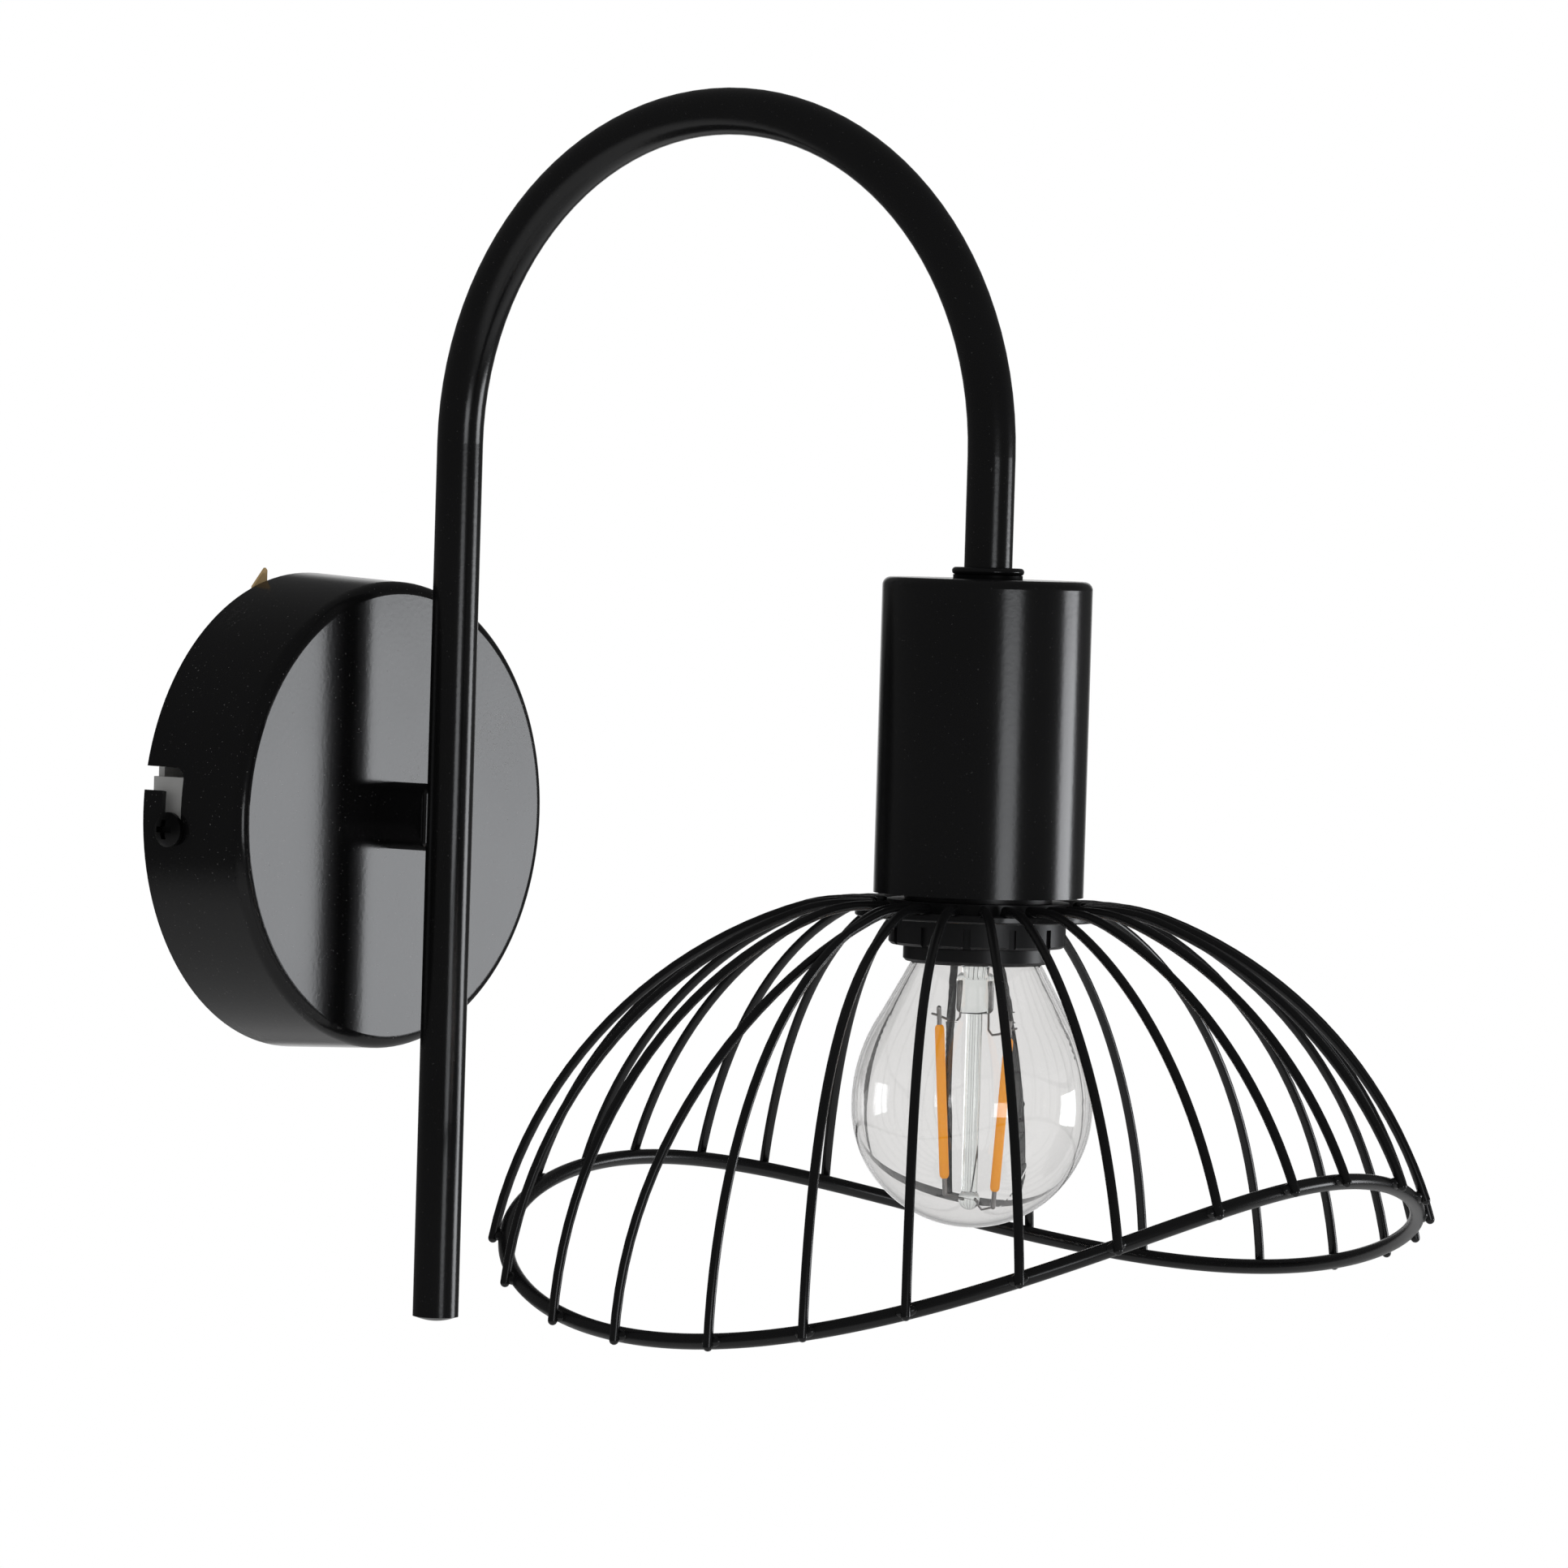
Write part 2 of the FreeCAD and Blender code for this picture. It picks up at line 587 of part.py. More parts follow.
# ---------------------------------------------------------------- inside the cup
def terminal_strap():
    """Steel strap under the boss nut that carries the terminal block inside the cup."""
    half = STRAP_WIDTH / 2
    strap = block((-half, 0, STRAP_FACE), (half, STRAP_REACH - half, CUP_INSIDE))
    strap = strap.fuse([rod(half, STRAP_FACE, CUP_INSIDE, 0, STRAP_REACH - half),
                        rod(WASHER_RADIUS + 1, STRAP_FACE, CUP_INSIDE)]).removeSplitter()
    strap = strap.cut(rod(STUD_RADIUS + FIT, STRAP_FACE - 1, CUP_FRONT))
    return strap.cut(rod(FIXING_SCREW_RADIUS, STRAP_FACE - 1, CUP_FRONT, 0, BLOCK_UP))


def toothed_washer(bore, radius, bottom, top):
    """Flat washer with notches round its edge."""
    washer = ring(radius, bore, bottom, top)
    half = WASHER_NOTCH_WIDTH / 2
    notch = block((radius - WASHER_NOTCH, -half, bottom - 1), (radius + 1, half, top + 1))
    notches = [turned_about(notch.copy(), k * 360 / WASHER_TEETH) for k in range(WASHER_TEETH)]
    return washer.cut(notches)


def hex_nut(bore, bottom, top):
    """Hexagon nut with chamfered corners."""
    nut = hexagon(NUT_ACROSS_FLATS, bottom, top)
    corner = NUT_ACROSS_FLATS / 2 / math.cos(math.pi / 6)
    flat = NUT_ACROSS_FLATS / 2
    drop = (corner - flat) * math.tan(math.pi / 6)
    blank = turned([(0, bottom), (flat, bottom), (corner, bottom + drop), (corner, top - drop), (flat, top),
                    (0, top)])
    return nut.common(blank).cut(rod(bore, bottom - 1, top + 1))


def poles():
    """Side position of each pole of the terminal block."""
    return (-POLE_SPACING / 2, POLE_SPACING / 2)


def clamp_heights():
    """Height of the two clamp screws along a pole."""
    return (BLOCK_UP - CLAMP_SPACING / 2, BLOCK_UP + CLAMP_SPACING / 2)


def terminal_block():
    """Two-pole block: a moulded body with a sleeve bore and two screw wells at each pole."""
    low = BLOCK_UP - BLOCK_HEIGHT / 2
    body = block((-BLOCK_WIDTH / 2, low, BLOCK_FACE), (BLOCK_WIDTH / 2, low + BLOCK_HEIGHT, STRAP_FACE))
    body = body.makeFillet(BLOCK_EDGE, edges_where(body, lambda b: b.ZLength > SMALL))
    for x in poles():
        start = V(x, low - 1, SLEEVE_OUT)
        body = body.cut(Part.makeCylinder(SLEEVE_RADIUS + FIT, BLOCK_HEIGHT + 2, start, V(0, 1, 0)))
        for up in clamp_heights():
            body = body.cut(rod(CLAMP_HEAD_RADIUS + FIT, BLOCK_FACE - 1, SLEEVE_OUT, x, up))
    body = body.cut(rod(FIXING_HEAD_RADIUS + FIT, BLOCK_FACE - 1, FIXING_SEAT, 0, BLOCK_UP))
    return body.cut(rod(FIXING_SCREW_RADIUS + FIT, BLOCK_FACE - 1, STRAP_FACE + 1, 0, BLOCK_UP))


def terminal_sleeves():
    """The brass tubes in the block."""
    start = BLOCK_UP - SLEEVE_LENGTH / 2
    sleeves = []
    for x in poles():
        sleeve = Part.makeCylinder(SLEEVE_RADIUS, SLEEVE_LENGTH, V(x, start, SLEEVE_OUT), V(0, 1, 0))
        bore = Part.makeCylinder(SLEEVE_BORE, SLEEVE_LENGTH, V(x, start, SLEEVE_OUT), V(0, 1, 0))
        sleeve = sleeve.cut(bore)
        for up in clamp_heights():
            sleeve = sleeve.cut(rod(CLAMP_SCREW_RADIUS, BLOCK_FACE, SLEEVE_OUT, x, up))
        sleeves.append(sleeve)
    return sleeves


def clamp_screws():
    """The slotted grub screws of the block, down on the leads."""
    head_low = SLEEVE_OUT - SLEEVE_RADIUS - CONTACT_GAP
    head_top = head_low - CLAMP_HEAD_HEIGHT
    screws = []
    for x in poles():
        for up in clamp_heights():
            shank = rod(CLAMP_SCREW_RADIUS, head_low, SLEEVE_OUT - LEAD_RADIUS - CONTACT_GAP, x, up)
            head = rod(CLAMP_HEAD_RADIUS, head_top, head_low, x, up)
            slot = block((x - CLAMP_HEAD_RADIUS, up - CLAMP_SLOT_WIDTH / 2, head_top),
                         (x + CLAMP_HEAD_RADIUS, up + CLAMP_SLOT_WIDTH / 2, head_top + CLAMP_SLOT_DEPTH))
            screws.append(shank.fuse(head).cut(slot).removeSplitter())
    return screws


def block_screw():
    """The screw that fixes the block to its strap."""
    length = CUP_INSIDE - FIXING_SEAT
    screw = slotted_screw(FIXING_SCREW_RADIUS, length, FIXING_HEAD_RADIUS, FIXING_HEAD_HEIGHT)
    screw.rotate(V(0, 0, 0), V(1, 0, 0), 180)
    screw.translate(V(0, BLOCK_UP, FIXING_SEAT))
    return screw


# ---------------------------------------------------------------- arm
def wall_leg_past_boss():
    """The stretch of the arm's wall leg that passes the boss, to cut the boss and the welds to it."""
    reach = 3 * BOSS_RADIUS
    return Part.makeCylinder(TUBE_RADIUS, 2 * reach, V(0, -reach, WALL_LEG_OUT), V(0, 1, 0))


def arm_boss():
    """Turned boss: coped to the tube, with a bored stud through the cup's face."""
    reach = WALL_LEG_OUT - TUBE_RADIUS + BOSS_BITE
    boss = rod(BOSS_RADIUS, CUP_FRONT, reach)
    boss = boss.cut(wall_leg_past_boss())
    boss = boss.fuse(rod(STUD_RADIUS, STUD_END, CUP_FRONT)).removeSplitter()
    return boss.cut(rod(BOSS_BORE, 0, WALL_LEG_OUT))


def weld_beads():
    """Run of weld on each side of the tube, along the boss's end."""
    beads = []
    along = math.sqrt(BOSS_RADIUS ** 2 - TUBE_RADIUS ** 2)
    out = WALL_LEG_OUT - TUBE_RADIUS + BOSS_BITE
    for side in (-1, 1):
        x = side * (math.sqrt(TUBE_RADIUS ** 2 - (TUBE_RADIUS - BOSS_BITE) ** 2) + WELD_OUT)
        bead = Part.makeCylinder(WELD_RADIUS, 2 * along, V(x, -along, out), V(0, 1, 0))
        bead = bead.fuse([Part.makeSphere(WELD_RADIUS, V(x, -along, out)),
                          Part.makeSphere(WELD_RADIUS, V(x, along, out))])
        bead = bead.cut(wall_leg_past_boss())
        beads.append(bead.cut(rod(BOSS_RADIUS, CUP_FRONT, out)))
    return beads


def arm_path():
    """Centre line of the arm: up the wall leg, over the arch and down to the collar."""
    wall_y = -WALL_LEG_OUT
    top = V(0, (wall_y + SHADE_Y) / 2, ARCH_SPRING_Z + ARCH_RADIUS)
    return [Part.LineSegment(V(0, wall_y, LEG_BOTTOM_Z), V(0, wall_y, ARCH_SPRING_Z)).toShape(),
            Part.Arc(V(0, wall_y, ARCH_SPRING_Z), top, V(0, SHADE_Y, ARCH_SPRING_Z)).toShape(),
            Part.LineSegment(V(0, SHADE_Y, ARCH_SPRING_Z), V(0, SHADE_Y, ARM_END_Z)).toShape()]


def arm_tube():
    """The bent tube, with a wiring hole towards the boss."""
    tube = pipe(arm_path(), TUBE_RADIUS).cut(pipe(arm_path(), TUBE_BORE))
    reach = TUBE_RADIUS + TUBE_WALL
    hole = Part.makeCylinder(BOSS_BORE, reach, V(0, reach - WALL_LEG_OUT, 0), V(0, -1, 0))
    return tube.cut(hole)


def tube_plug():
    """Domed plug pushed into the lower end of the wall leg."""
    plug = turned([(0, LEG_BOTTOM_Z + PLUG_LENGTH), (TUBE_BORE - FIT, LEG_BOTTOM_Z + PLUG_LENGTH),
                   (TUBE_BORE - FIT, LEG_BOTTOM_Z), (PLUG_RADIUS, LEG_BOTTOM_Z),
                   dome(PLUG_RADIUS, LEG_BOTTOM_Z, LEG_BOTTOM_Z - PLUG_RISE)])
    plug.translate(V(0, -WALL_LEG_OUT, 0))
    return plug


def lead_bush():
    """Plastic bush that lines the stud's bore where the leads enter it."""
    lip_face = STUD_END - BUSH_LIP
    return turned([(BUSH_BORE, lip_face), (BUSH_LIP_RADIUS, lip_face), (BUSH_LIP_RADIUS, STUD_END),
                   (BOSS_BORE - FIT, STUD_END), (BOSS_BORE - FIT, STUD_END + BUSH_LENGTH),
                   (BUSH_BORE, STUD_END + BUSH_LENGTH)])


# ---------------------------------------------------------------- collar, cover
def collar():
    """Turned end fitting: a spigot in the tube, the rounded collar and the long nipple below."""
    spigot_top = ARM_END_Z + SPIGOT_LENGTH
    half = COLLAR_THICK / 2
    return turned([(SPIGOT_BORE, spigot_top), (TUBE_BORE - FIT, spigot_top), (TUBE_BORE - FIT, ARM_END_Z),
                   (COLLAR_RADIUS - half, ARM_END_Z),
                   ((COLLAR_RADIUS, ARM_END_Z - half), (COLLAR_RADIUS - half, COLLAR_Z)),
                   (NIPPLE_RADIUS, COLLAR_Z), (NIPPLE_RADIUS, NIPPLE_END_Z), (NIPPLE_BORE, NIPPLE_END_Z),
                   (NIPPLE_BORE, COLLAR_Z - NIPPLE_BORE), (SPIGOT_BORE, COLLAR_Z)])


def cover():
    """Drawn steel cover, open below."""
    bend = 1 - math.sqrt(0.5)
    edge = COVER_EDGE_RADIUS
    inner_edge = edge - COVER_WALL
    inner = COVER_RADIUS - COVER_WALL
    return turned([(NIPPLE_RADIUS + FIT, COVER_TOP_Z), (COVER_RADIUS - edge, COVER_TOP_Z),
                   ((COVER_RADIUS - edge * bend, COVER_TOP_Z - edge * bend),
                    (COVER_RADIUS, COVER_TOP_Z - edge)),
                   (COVER_RADIUS, COVER_BOTTOM_Z), (inner, COVER_BOTTOM_Z), (inner, COVER_TOP_Z - edge),
                   ((inner - inner_edge * bend, COVER_INSIDE_Z - inner_edge * bend),
                    (COVER_RADIUS - edge, COVER_INSIDE_Z)),
                   (NIPPLE_RADIUS + FIT, COVER_INSIDE_Z)])


# ---------------------------------------------------------------- lampholder
def holder_cap():
    """Moulded dome of the lampholder, screwed on the nipple."""
    neck_z = CAP_SHOULDER_Z + CAP_SHOULDER_RISE
    part_way = CAP_SHOULDER_Z + CAP_SHOULDER_RISE * 2 / 3
    inner = CAP_RADIUS - CAP_WALL
    return turned([(NIPPLE_RADIUS, CAP_TOP_Z), (CAP_NECK_RADIUS, CAP_TOP_Z), (CAP_NECK_RADIUS, neck_z),
                   ((CAP_RADIUS - CAP_ROUND, part_way), (CAP_RADIUS, CAP_SHOULDER_Z)),
                   (CAP_RADIUS, HOLDER_FLOOR_Z), (inner, HOLDER_FLOOR_Z), (inner, CAP_SHOULDER_Z),
                   ((inner - CAP_ROUND, part_way - CAP_WALL / 2), (NIPPLE_RADIUS, neck_z - CAP_WALL / 2))])


def holder_body():
    """Moulded lower half: the floor for the contacts, the socket, a flange and the ring's thread."""
    top_radius = CAP_RADIUS - CAP_WALL - FIT
    flare_bore = SHELL_FLARE_RADIUS + 4 * RUNNING
    body = turned([(0, FLOOR_TOP_Z), (top_radius, FLOOR_TOP_Z), (top_radius, HOLDER_FLOOR_Z),
                   (HOLDER_BODY_RADIUS, HOLDER_FLOOR_Z), (HOLDER_BODY_RADIUS, FLANGE_TOP_Z),
                   (HOLDER_FLANGE_RADIUS, FLANGE_TOP_Z), (HOLDER_FLANGE_RADIUS, DISC_TOP_Z),
                   (HOLDER_CORE_RADIUS, DISC_TOP_Z), (HOLDER_CORE_RADIUS, LIP_TOP_Z),
                   (HOLDER_MOUTH_RADIUS, LIP_TOP_Z), (HOLDER_MOUTH_RADIUS, MOUTH_Z + MOULDED_CHAMFER),
                   (HOLDER_MOUTH_RADIUS - MOULDED_CHAMFER, MOUTH_Z), (MOUTH_BORE, MOUTH_Z),
                   (MOUTH_BORE, MOUTH_Z + MOUTH_DEPTH), (flare_bore, MOUTH_Z + MOUTH_DEPTH),
                   (flare_bore, SHELL_THREAD_BOTTOM_Z - 1),
                   (SOCKET_BORE, SHELL_THREAD_BOTTOM_Z), (SOCKET_BORE, HOLDER_FLOOR_Z), (0, HOLDER_FLOOR_Z)])
    low = LIP_TOP_Z + RING_RIDGE_WIDTH * 0.7
    high = DISC_Z + RING_RIDGE_WIDTH * 0.3
    body = body.fuse(thread_ridge(HOLDER_THREAD_RADIUS, HOLDER_CORE_RADIUS, RING_PITCH, low, high,
                                  RING_RIDGE_WIDTH))
    peg_foot = FLOOR_TOP_Z - TERMINAL_PEG
    for side in (-1, 1):
        body = body.cut(rod(TERMINAL_PEG_RADIUS, peg_foot, FLOOR_TOP_Z + 1, side * TERMINAL_SPACING / 2))
    half = CONTACT_WIDTH / 4 + FIT
    body = body.cut(block((-half, -SOCKET_BORE, HOLDER_FLOOR_Z - 1),
                          (half, CONTACT_THICK + 1 - SOCKET_BORE, FLOOR_TOP_Z + 1)))
    return body.cut(rod(RIVET_RADIUS + FIT, HOLDER_FLOOR_Z - 1, FLOOR_TOP_Z + 1))


def centre_contact():
    """Sprung brass strip over the bulb's tip, riveted through the floor to its terminal."""
    half = CONTACT_WIDTH / 2
    touch = CAP_TIP_Z + CONTACT_GAP
    strip = block((-half, -CONTACT_REACH, touch), (half, half, touch + CONTACT_THICK))
    foot = block((-half, -CONTACT_REACH, touch), (half, CONTACT_THICK - CONTACT_REACH, HOLDER_FLOOR_Z))
    root = block((-half, -CONTACT_REACH, HOLDER_FLOOR_Z - CONTACT_THICK), (half, half, HOLDER_FLOOR_Z))
    pin = rod(RIVET_RADIUS, HOLDER_FLOOR_Z, FLOOR_TOP_Z)
    reach = (TERMINAL_SPACING - TERMINAL_SIZE) / 2
    link = block((0, -half, FLOOR_TOP_Z), (reach, half, FLOOR_TOP_Z + CONTACT_THICK))
    head = rod(RIVET_RADIUS + CONTACT_THICK, FLOOR_TOP_Z, FLOOR_TOP_Z + CONTACT_THICK)
    return strip.fuse([foot, root, pin, link, head]).removeSplitter()


def side_contact():
    """Brass blade down one side of the socket to the bulb's shell, with its terminal link."""
    half = CONTACT_WIDTH / 4
    thin = (SOCKET_BORE - SHELL_CREST_RADIUS) / 2
    tip = SHELL_THREAD_BOTTOM_Z / 4
    blade = block((-half, -SOCKET_BORE, tip), (half, thin - SOCKET_BORE, HOLDER_FLOOR_Z))
    blade = blade.common(rod(SOCKET_BORE, SHELL_THREAD_BOTTOM_Z, HOLDER_FLOOR_Z))
    top = FLOOR_TOP_Z + CONTACT_THICK
    riser = block((-half, -SOCKET_BORE, HOLDER_FLOOR_Z), (half, CONTACT_THICK - SOCKET_BORE, top))
    reach = (TERMINAL_SPACING - TERMINAL_SIZE) / 2
    link = block((-reach, -SOCKET_BORE, FLOOR_TOP_Z), (half, CONTACT_WIDTH - SOCKET_BORE, top))
    arm = block((-reach, -SOCKET_BORE, FLOOR_TOP_Z), (CONTACT_THICK - reach, 0, top))
    return blade.fuse([riser, link, arm]).removeSplitter()


def holder_terminals():
    """The two brass terminal blocks on the floor, each with a lead bore on top and a clamp thread."""
    half = TERMINAL_SIZE / 2
    top = FLOOR_TOP_Z + TERMINAL_HEIGHT
    blocks = []
    for side in (-1, 1):
        x = side * TERMINAL_SPACING / 2
        body = block((x - half, -half, FLOOR_TOP_Z), (x + half, half, top))
        body = body.fuse(rod(TERMINAL_PEG_RADIUS, FLOOR_TOP_Z - TERMINAL_PEG, FLOOR_TOP_Z, x))
        body = body.cut(rod(LEAD_RADIUS + FIT, FLOOR_TOP_Z + LEAD_RADIUS, top, x))
        screw_z = FLOOR_TOP_Z + TERMINAL_SCREW_UP
        clamp = Part.makeCylinder(CLAMP_SCREW_RADIUS, half, V(x, -half, screw_z), V(0, 1, 0))
        blocks.append(body.cut(clamp))
    return blocks


def holder_screws():
    """The two terminal screws of the lampholder."""
    half = TERMINAL_SIZE / 2
    screws = []
    for side in (-1, 1):
        screw = slotted_screw(CLAMP_SCREW_RADIUS, half - LEAD_RADIUS - CONTACT_GAP, TERMINAL_HEAD_RADIUS,
                              TERMINAL_HEAD_HEIGHT)
        screw.rotate(V(0, 0, 0), V(1, 0, 0), 90)
        screw.translate(V(side * TERMINAL_SPACING / 2, -half, FLOOR_TOP_Z + TERMINAL_SCREW_UP))
        screws.append(screw)
    return screws


# ---------------------------------------------------------------- shade
def wire_point(angle):
    """A point of a wire's centre line, by how far the wire has turned down: (radius, height)."""
    knee = math.radians(KNEE_TURN)
    if angle <= knee:
        return (WIRE_FLAT_END + KNEE_RADIUS * math.sin(angle), WIRE_Z + KNEE_RADIUS * (math.cos(angle) - 1))
    centre_r = WIRE_FLAT_END + (KNEE_RADIUS - SWEEP_RADIUS) * math.sin(knee)
    centre_z = WIRE_Z - KNEE_RADIUS + (KNEE_RADIUS - SWEEP_RADIUS) * math.cos(knee)
    return (centre_r + SWEEP_RADIUS * math.sin(angle), centre_z + SWEEP_RADIUS * math.cos(angle))


def turn_at_height(height):
    """How far a wire has turned down where it reaches a height on its wide bend."""
    knee = math.radians(KNEE_TURN)
    centre_z = WIRE_Z - KNEE_RADIUS + (KNEE_RADIUS - SWEEP_RADIUS) * math.cos(knee)
    return math.acos((height - centre_z) / SWEEP_RADIUS)


def rim_height(direction):
    """Height of the rim in a direction, in radians from straight out: two rises, two dips and a lean."""
    lean = RIM_LEAN * math.cos(direction - math.radians(RIM_LEAN_TURN))
    return RIM_MEAN_Z + RIM_WAVE * math.cos(2 * direction) + lean


def shade_wire(direction):
    """One wire: flat on the disc, a knee, then the wide bend down to just past the rim."""
    knee = math.radians(KNEE_TURN)
    last = turn_at_height(rim_height(direction) - WIRE_PAST_RIM)
    stations = [wire_point(a) for a in (0, knee / 2, knee, (knee + last) / 2, last)]
    points = [V(r, 0, z) for r, z in stations]
    start = V(WIRE_START_RADIUS, 0, WIRE_Z)
    edges = [Part.LineSegment(start, points[0]).toShape(),
             Part.Arc(points[0], points[1], points[2]).toShape(),
             Part.Arc(points[2], points[3], points[4]).toShape()]
    wire = pipe(edges, WIRE_RADIUS)
    wire = wire.fuse([Part.makeSphere(WIRE_RADIUS, start), Part.makeSphere(WIRE_RADIUS, points[4])])
    return turned_about(wire.removeSplitter(), math.degrees(direction) - 90)


def wire_directions():
    """Direction of every wire, in radians from straight out."""
    even = [WIRE_PHASE + k * 360 / WIRE_COUNT for k in range(WIRE_COUNT)]
    return [math.radians(turn + WIRES_SET_OFF[k % len(WIRES_SET_OFF)]) for k, turn in enumerate(even)]


def rim_point(direction):
    """Centre of the rim in a direction: inside the wires, touching them."""
    turn = turn_at_height(rim_height(direction))
    radius, height = wire_point(turn)
    inward = WIRE_RADIUS + RIM_RADIUS
    radius -= inward * math.sin(turn)
    height -= inward * math.cos(turn)
    return V(radius * math.sin(direction), -radius * math.cos(direction), height)


def biarc(start, start_way, end, end_way):
    """Two tangent arcs from one point and direction to another."""
    chord = end - start
    ways = start_way + end_way
    spare = 4 - ways.dot(ways)
    reach = (math.sqrt(chord.dot(ways) ** 2 + spare * chord.dot(chord)) - chord.dot(ways)) / spare
    corner_one = start + start_way * reach
    corner_two = end - end_way * reach
    join = (corner_one + corner_two) * 0.5
    edges = []
    for low, corner, high in ((start, corner_one, join), (join, corner_two, end)):
        half_chord = (high - low).Length / 2
        cosine = half_chord / reach
        middle = (low + high) * 0.5
        middle = middle + (corner - middle) * (cosine / (1 + cosine))
        edges.append(Part.Arc(low, middle, high).toShape())
    return edges


def shade_rim():
    """The wavy rim, swept along pairs of tangent arcs; one butt weld closes it."""
    step = 2 * math.pi / RIM_SPANS
    nudge = 1e-4
    points = []
    ways = []
    for k in range(RIM_SPANS + 1):
        direction = math.pi + k * step
        points.append(rim_point(direction))
        way = rim_point(direction + nudge) - rim_point(direction - nudge)
        ways.append(way.normalize())
    halves = []
    middle = RIM_SPANS // 2
    for first, last in ((0, middle), (middle, RIM_SPANS)):
        edges = []
        for k in range(first, last):
            edges += biarc(points[k], ways[k], points[k + 1], ways[k + 1])
        halves.append(pipe(edges, RIM_RADIUS))
    return halves


def shade_disc():
    """Flat steel plate with a hole for the lampholder."""
    disc = ring(DISC_RADIUS, HOLDER_THREAD_RADIUS + DISC_HOLE_CLEARANCE, DISC_Z, DISC_TOP_Z)
    outer = edges_where(disc, lambda b: b.XLength > 2 * DISC_RADIUS - 1e-3)
    return disc.makeFillet(DISC_EDGE_RADIUS, outer)


def shade_ring():
    """Moulded clamp ring with finger grooves."""
    ring_body = turned([(RING_BORE, DISC_Z), (RING_RADIUS, DISC_Z),
                        (RING_RADIUS, RING_BOTTOM_Z + MOULDED_CHAMFER),
                        (RING_RADIUS - MOULDED_CHAMFER, RING_BOTTOM_Z), (RING_BORE, RING_BOTTOM_Z)])
    half = RING_GROOVE_WIDTH / 2
    groove = block((RING_RADIUS - RING_GROOVE_DEPTH, -half, RING_BOTTOM_Z - 1),
                   (RING_RADIUS + 1, half, DISC_Z - RING_GROOVE_WIDTH))
    grooves = [turned_about(groove.copy(), k * 360 / RING_GROOVES) for k in range(RING_GROOVES)]
    return ring_body.cut(grooves)


# ---------------------------------------------------------------- bulb
def glass_profile(inset):
    """Right-hand half of the envelope, inset by the wall: ball, wide shoulder, cone and neck."""
    ball = BULB_RADIUS - inset
    shoulder = BULB_SHOULDER_RADIUS - inset
    centre_r = BULB_RADIUS - BULB_SHOULDER_RADIUS
    turn = math.asin(BULB_SHOULDER_RISE / BULB_SHOULDER_RADIUS)
    low = (ball * math.sin(math.pi / 4), BULB_CENTRE_Z - ball * math.cos(math.pi / 4))
    side = (ball, BULB_CENTRE_Z)
    half = (centre_r + shoulder * math.cos(turn / 2), BULB_CENTRE_Z + shoulder * math.sin(turn / 2))
    end = (centre_r + shoulder * math.cos(turn), BULB_CENTRE_Z + shoulder * math.sin(turn))
    throat = SHELL_FLARE_RADIUS - SHELL_WALL - FIT - inset
    neck = (NECK_RADIUS - inset, NECK_Z)
    round_middle = (NECK_RADIUS - inset - NECK_ROUND_IN, NECK_Z + NECK_ROUND_UP - inset)
    return [(0, BULB_CENTRE_Z - ball), (low, side), (half, end), neck,
            (round_middle, (throat, SHELL_BOTTOM_Z - inset)), (throat, SHELL_BOTTOM_Z + GLASS_IN_SHELL)]


def bulb_glass():
    """Clear glass envelope, open at the neck."""
    open_end = (0, SHELL_BOTTOM_Z + GLASS_IN_SHELL)
    outer = turned(glass_profile(0) + [open_end])
    inner = turned(glass_profile(GLASS_WALL) + [open_end])
    return outer.cut(inner)


def bulb_shell():
    """Threaded metal shell of the cap."""
    wall = SHELL_WALL
    lip_radius = SHELL_CORE_RADIUS - wall - SHELL_LIP_IN
    waist = SHELL_THREAD_BOTTOM_Z - SHELL_WAIST
    flare = waist - SHELL_FLARE_HEIGHT
    core = turned([(lip_radius, SHELL_THREAD_TOP_Z + SHELL_LIP_RISE),
                   (SHELL_CORE_RADIUS - SHELL_LIP_RISE, SHELL_THREAD_TOP_Z + SHELL_LIP_RISE),
                   (SHELL_CORE_RADIUS, SHELL_THREAD_TOP_Z), (SHELL_CORE_RADIUS, waist),
                   (SHELL_FLARE_RADIUS, flare), (SHELL_FLARE_RADIUS, SHELL_BOTTOM_Z),
                   (SHELL_FLARE_RADIUS - wall, SHELL_BOTTOM_Z),
                   (SHELL_FLARE_RADIUS - wall, flare - wall), (SHELL_CORE_RADIUS - 2 * wall, waist - wall),
                   (SHELL_CORE_RADIUS - 2 * wall, SHELL_THREAD_TOP_Z),
                   (lip_radius, SHELL_THREAD_TOP_Z + SHELL_LIP_RISE / 2)])
    ridge = thread_ridge(SHELL_CREST_RADIUS, SHELL_CORE_RADIUS, SHELL_PITCH, SHELL_THREAD_BOTTOM_Z,
                         SHELL_THREAD_TOP_Z - SHELL_RIDGE_WIDTH / 2, SHELL_RIDGE_WIDTH)
    return core.fuse(ridge)


def bulb_insulator():
    """Dark glass cone between the shell and the centre contact."""
    top = CAP_TIP_Z - PIP_HEIGHT
    base = SHELL_THREAD_TOP_Z + SHELL_LIP_RISE
    return turned([(0, base), (SHELL_CORE_RADIUS - SHELL_LIP_RISE - FIT, base),
                   (PIP_RADIUS + INSULATOR_EDGE, top), (0, top)])


def bulb_pip():
    """Solder dome at the tip of the cap."""
    base = CAP_TIP_Z - PIP_HEIGHT
    return turned([(0, base), (PIP_RADIUS, base), dome(PIP_RADIUS, base, CAP_TIP_Z)])


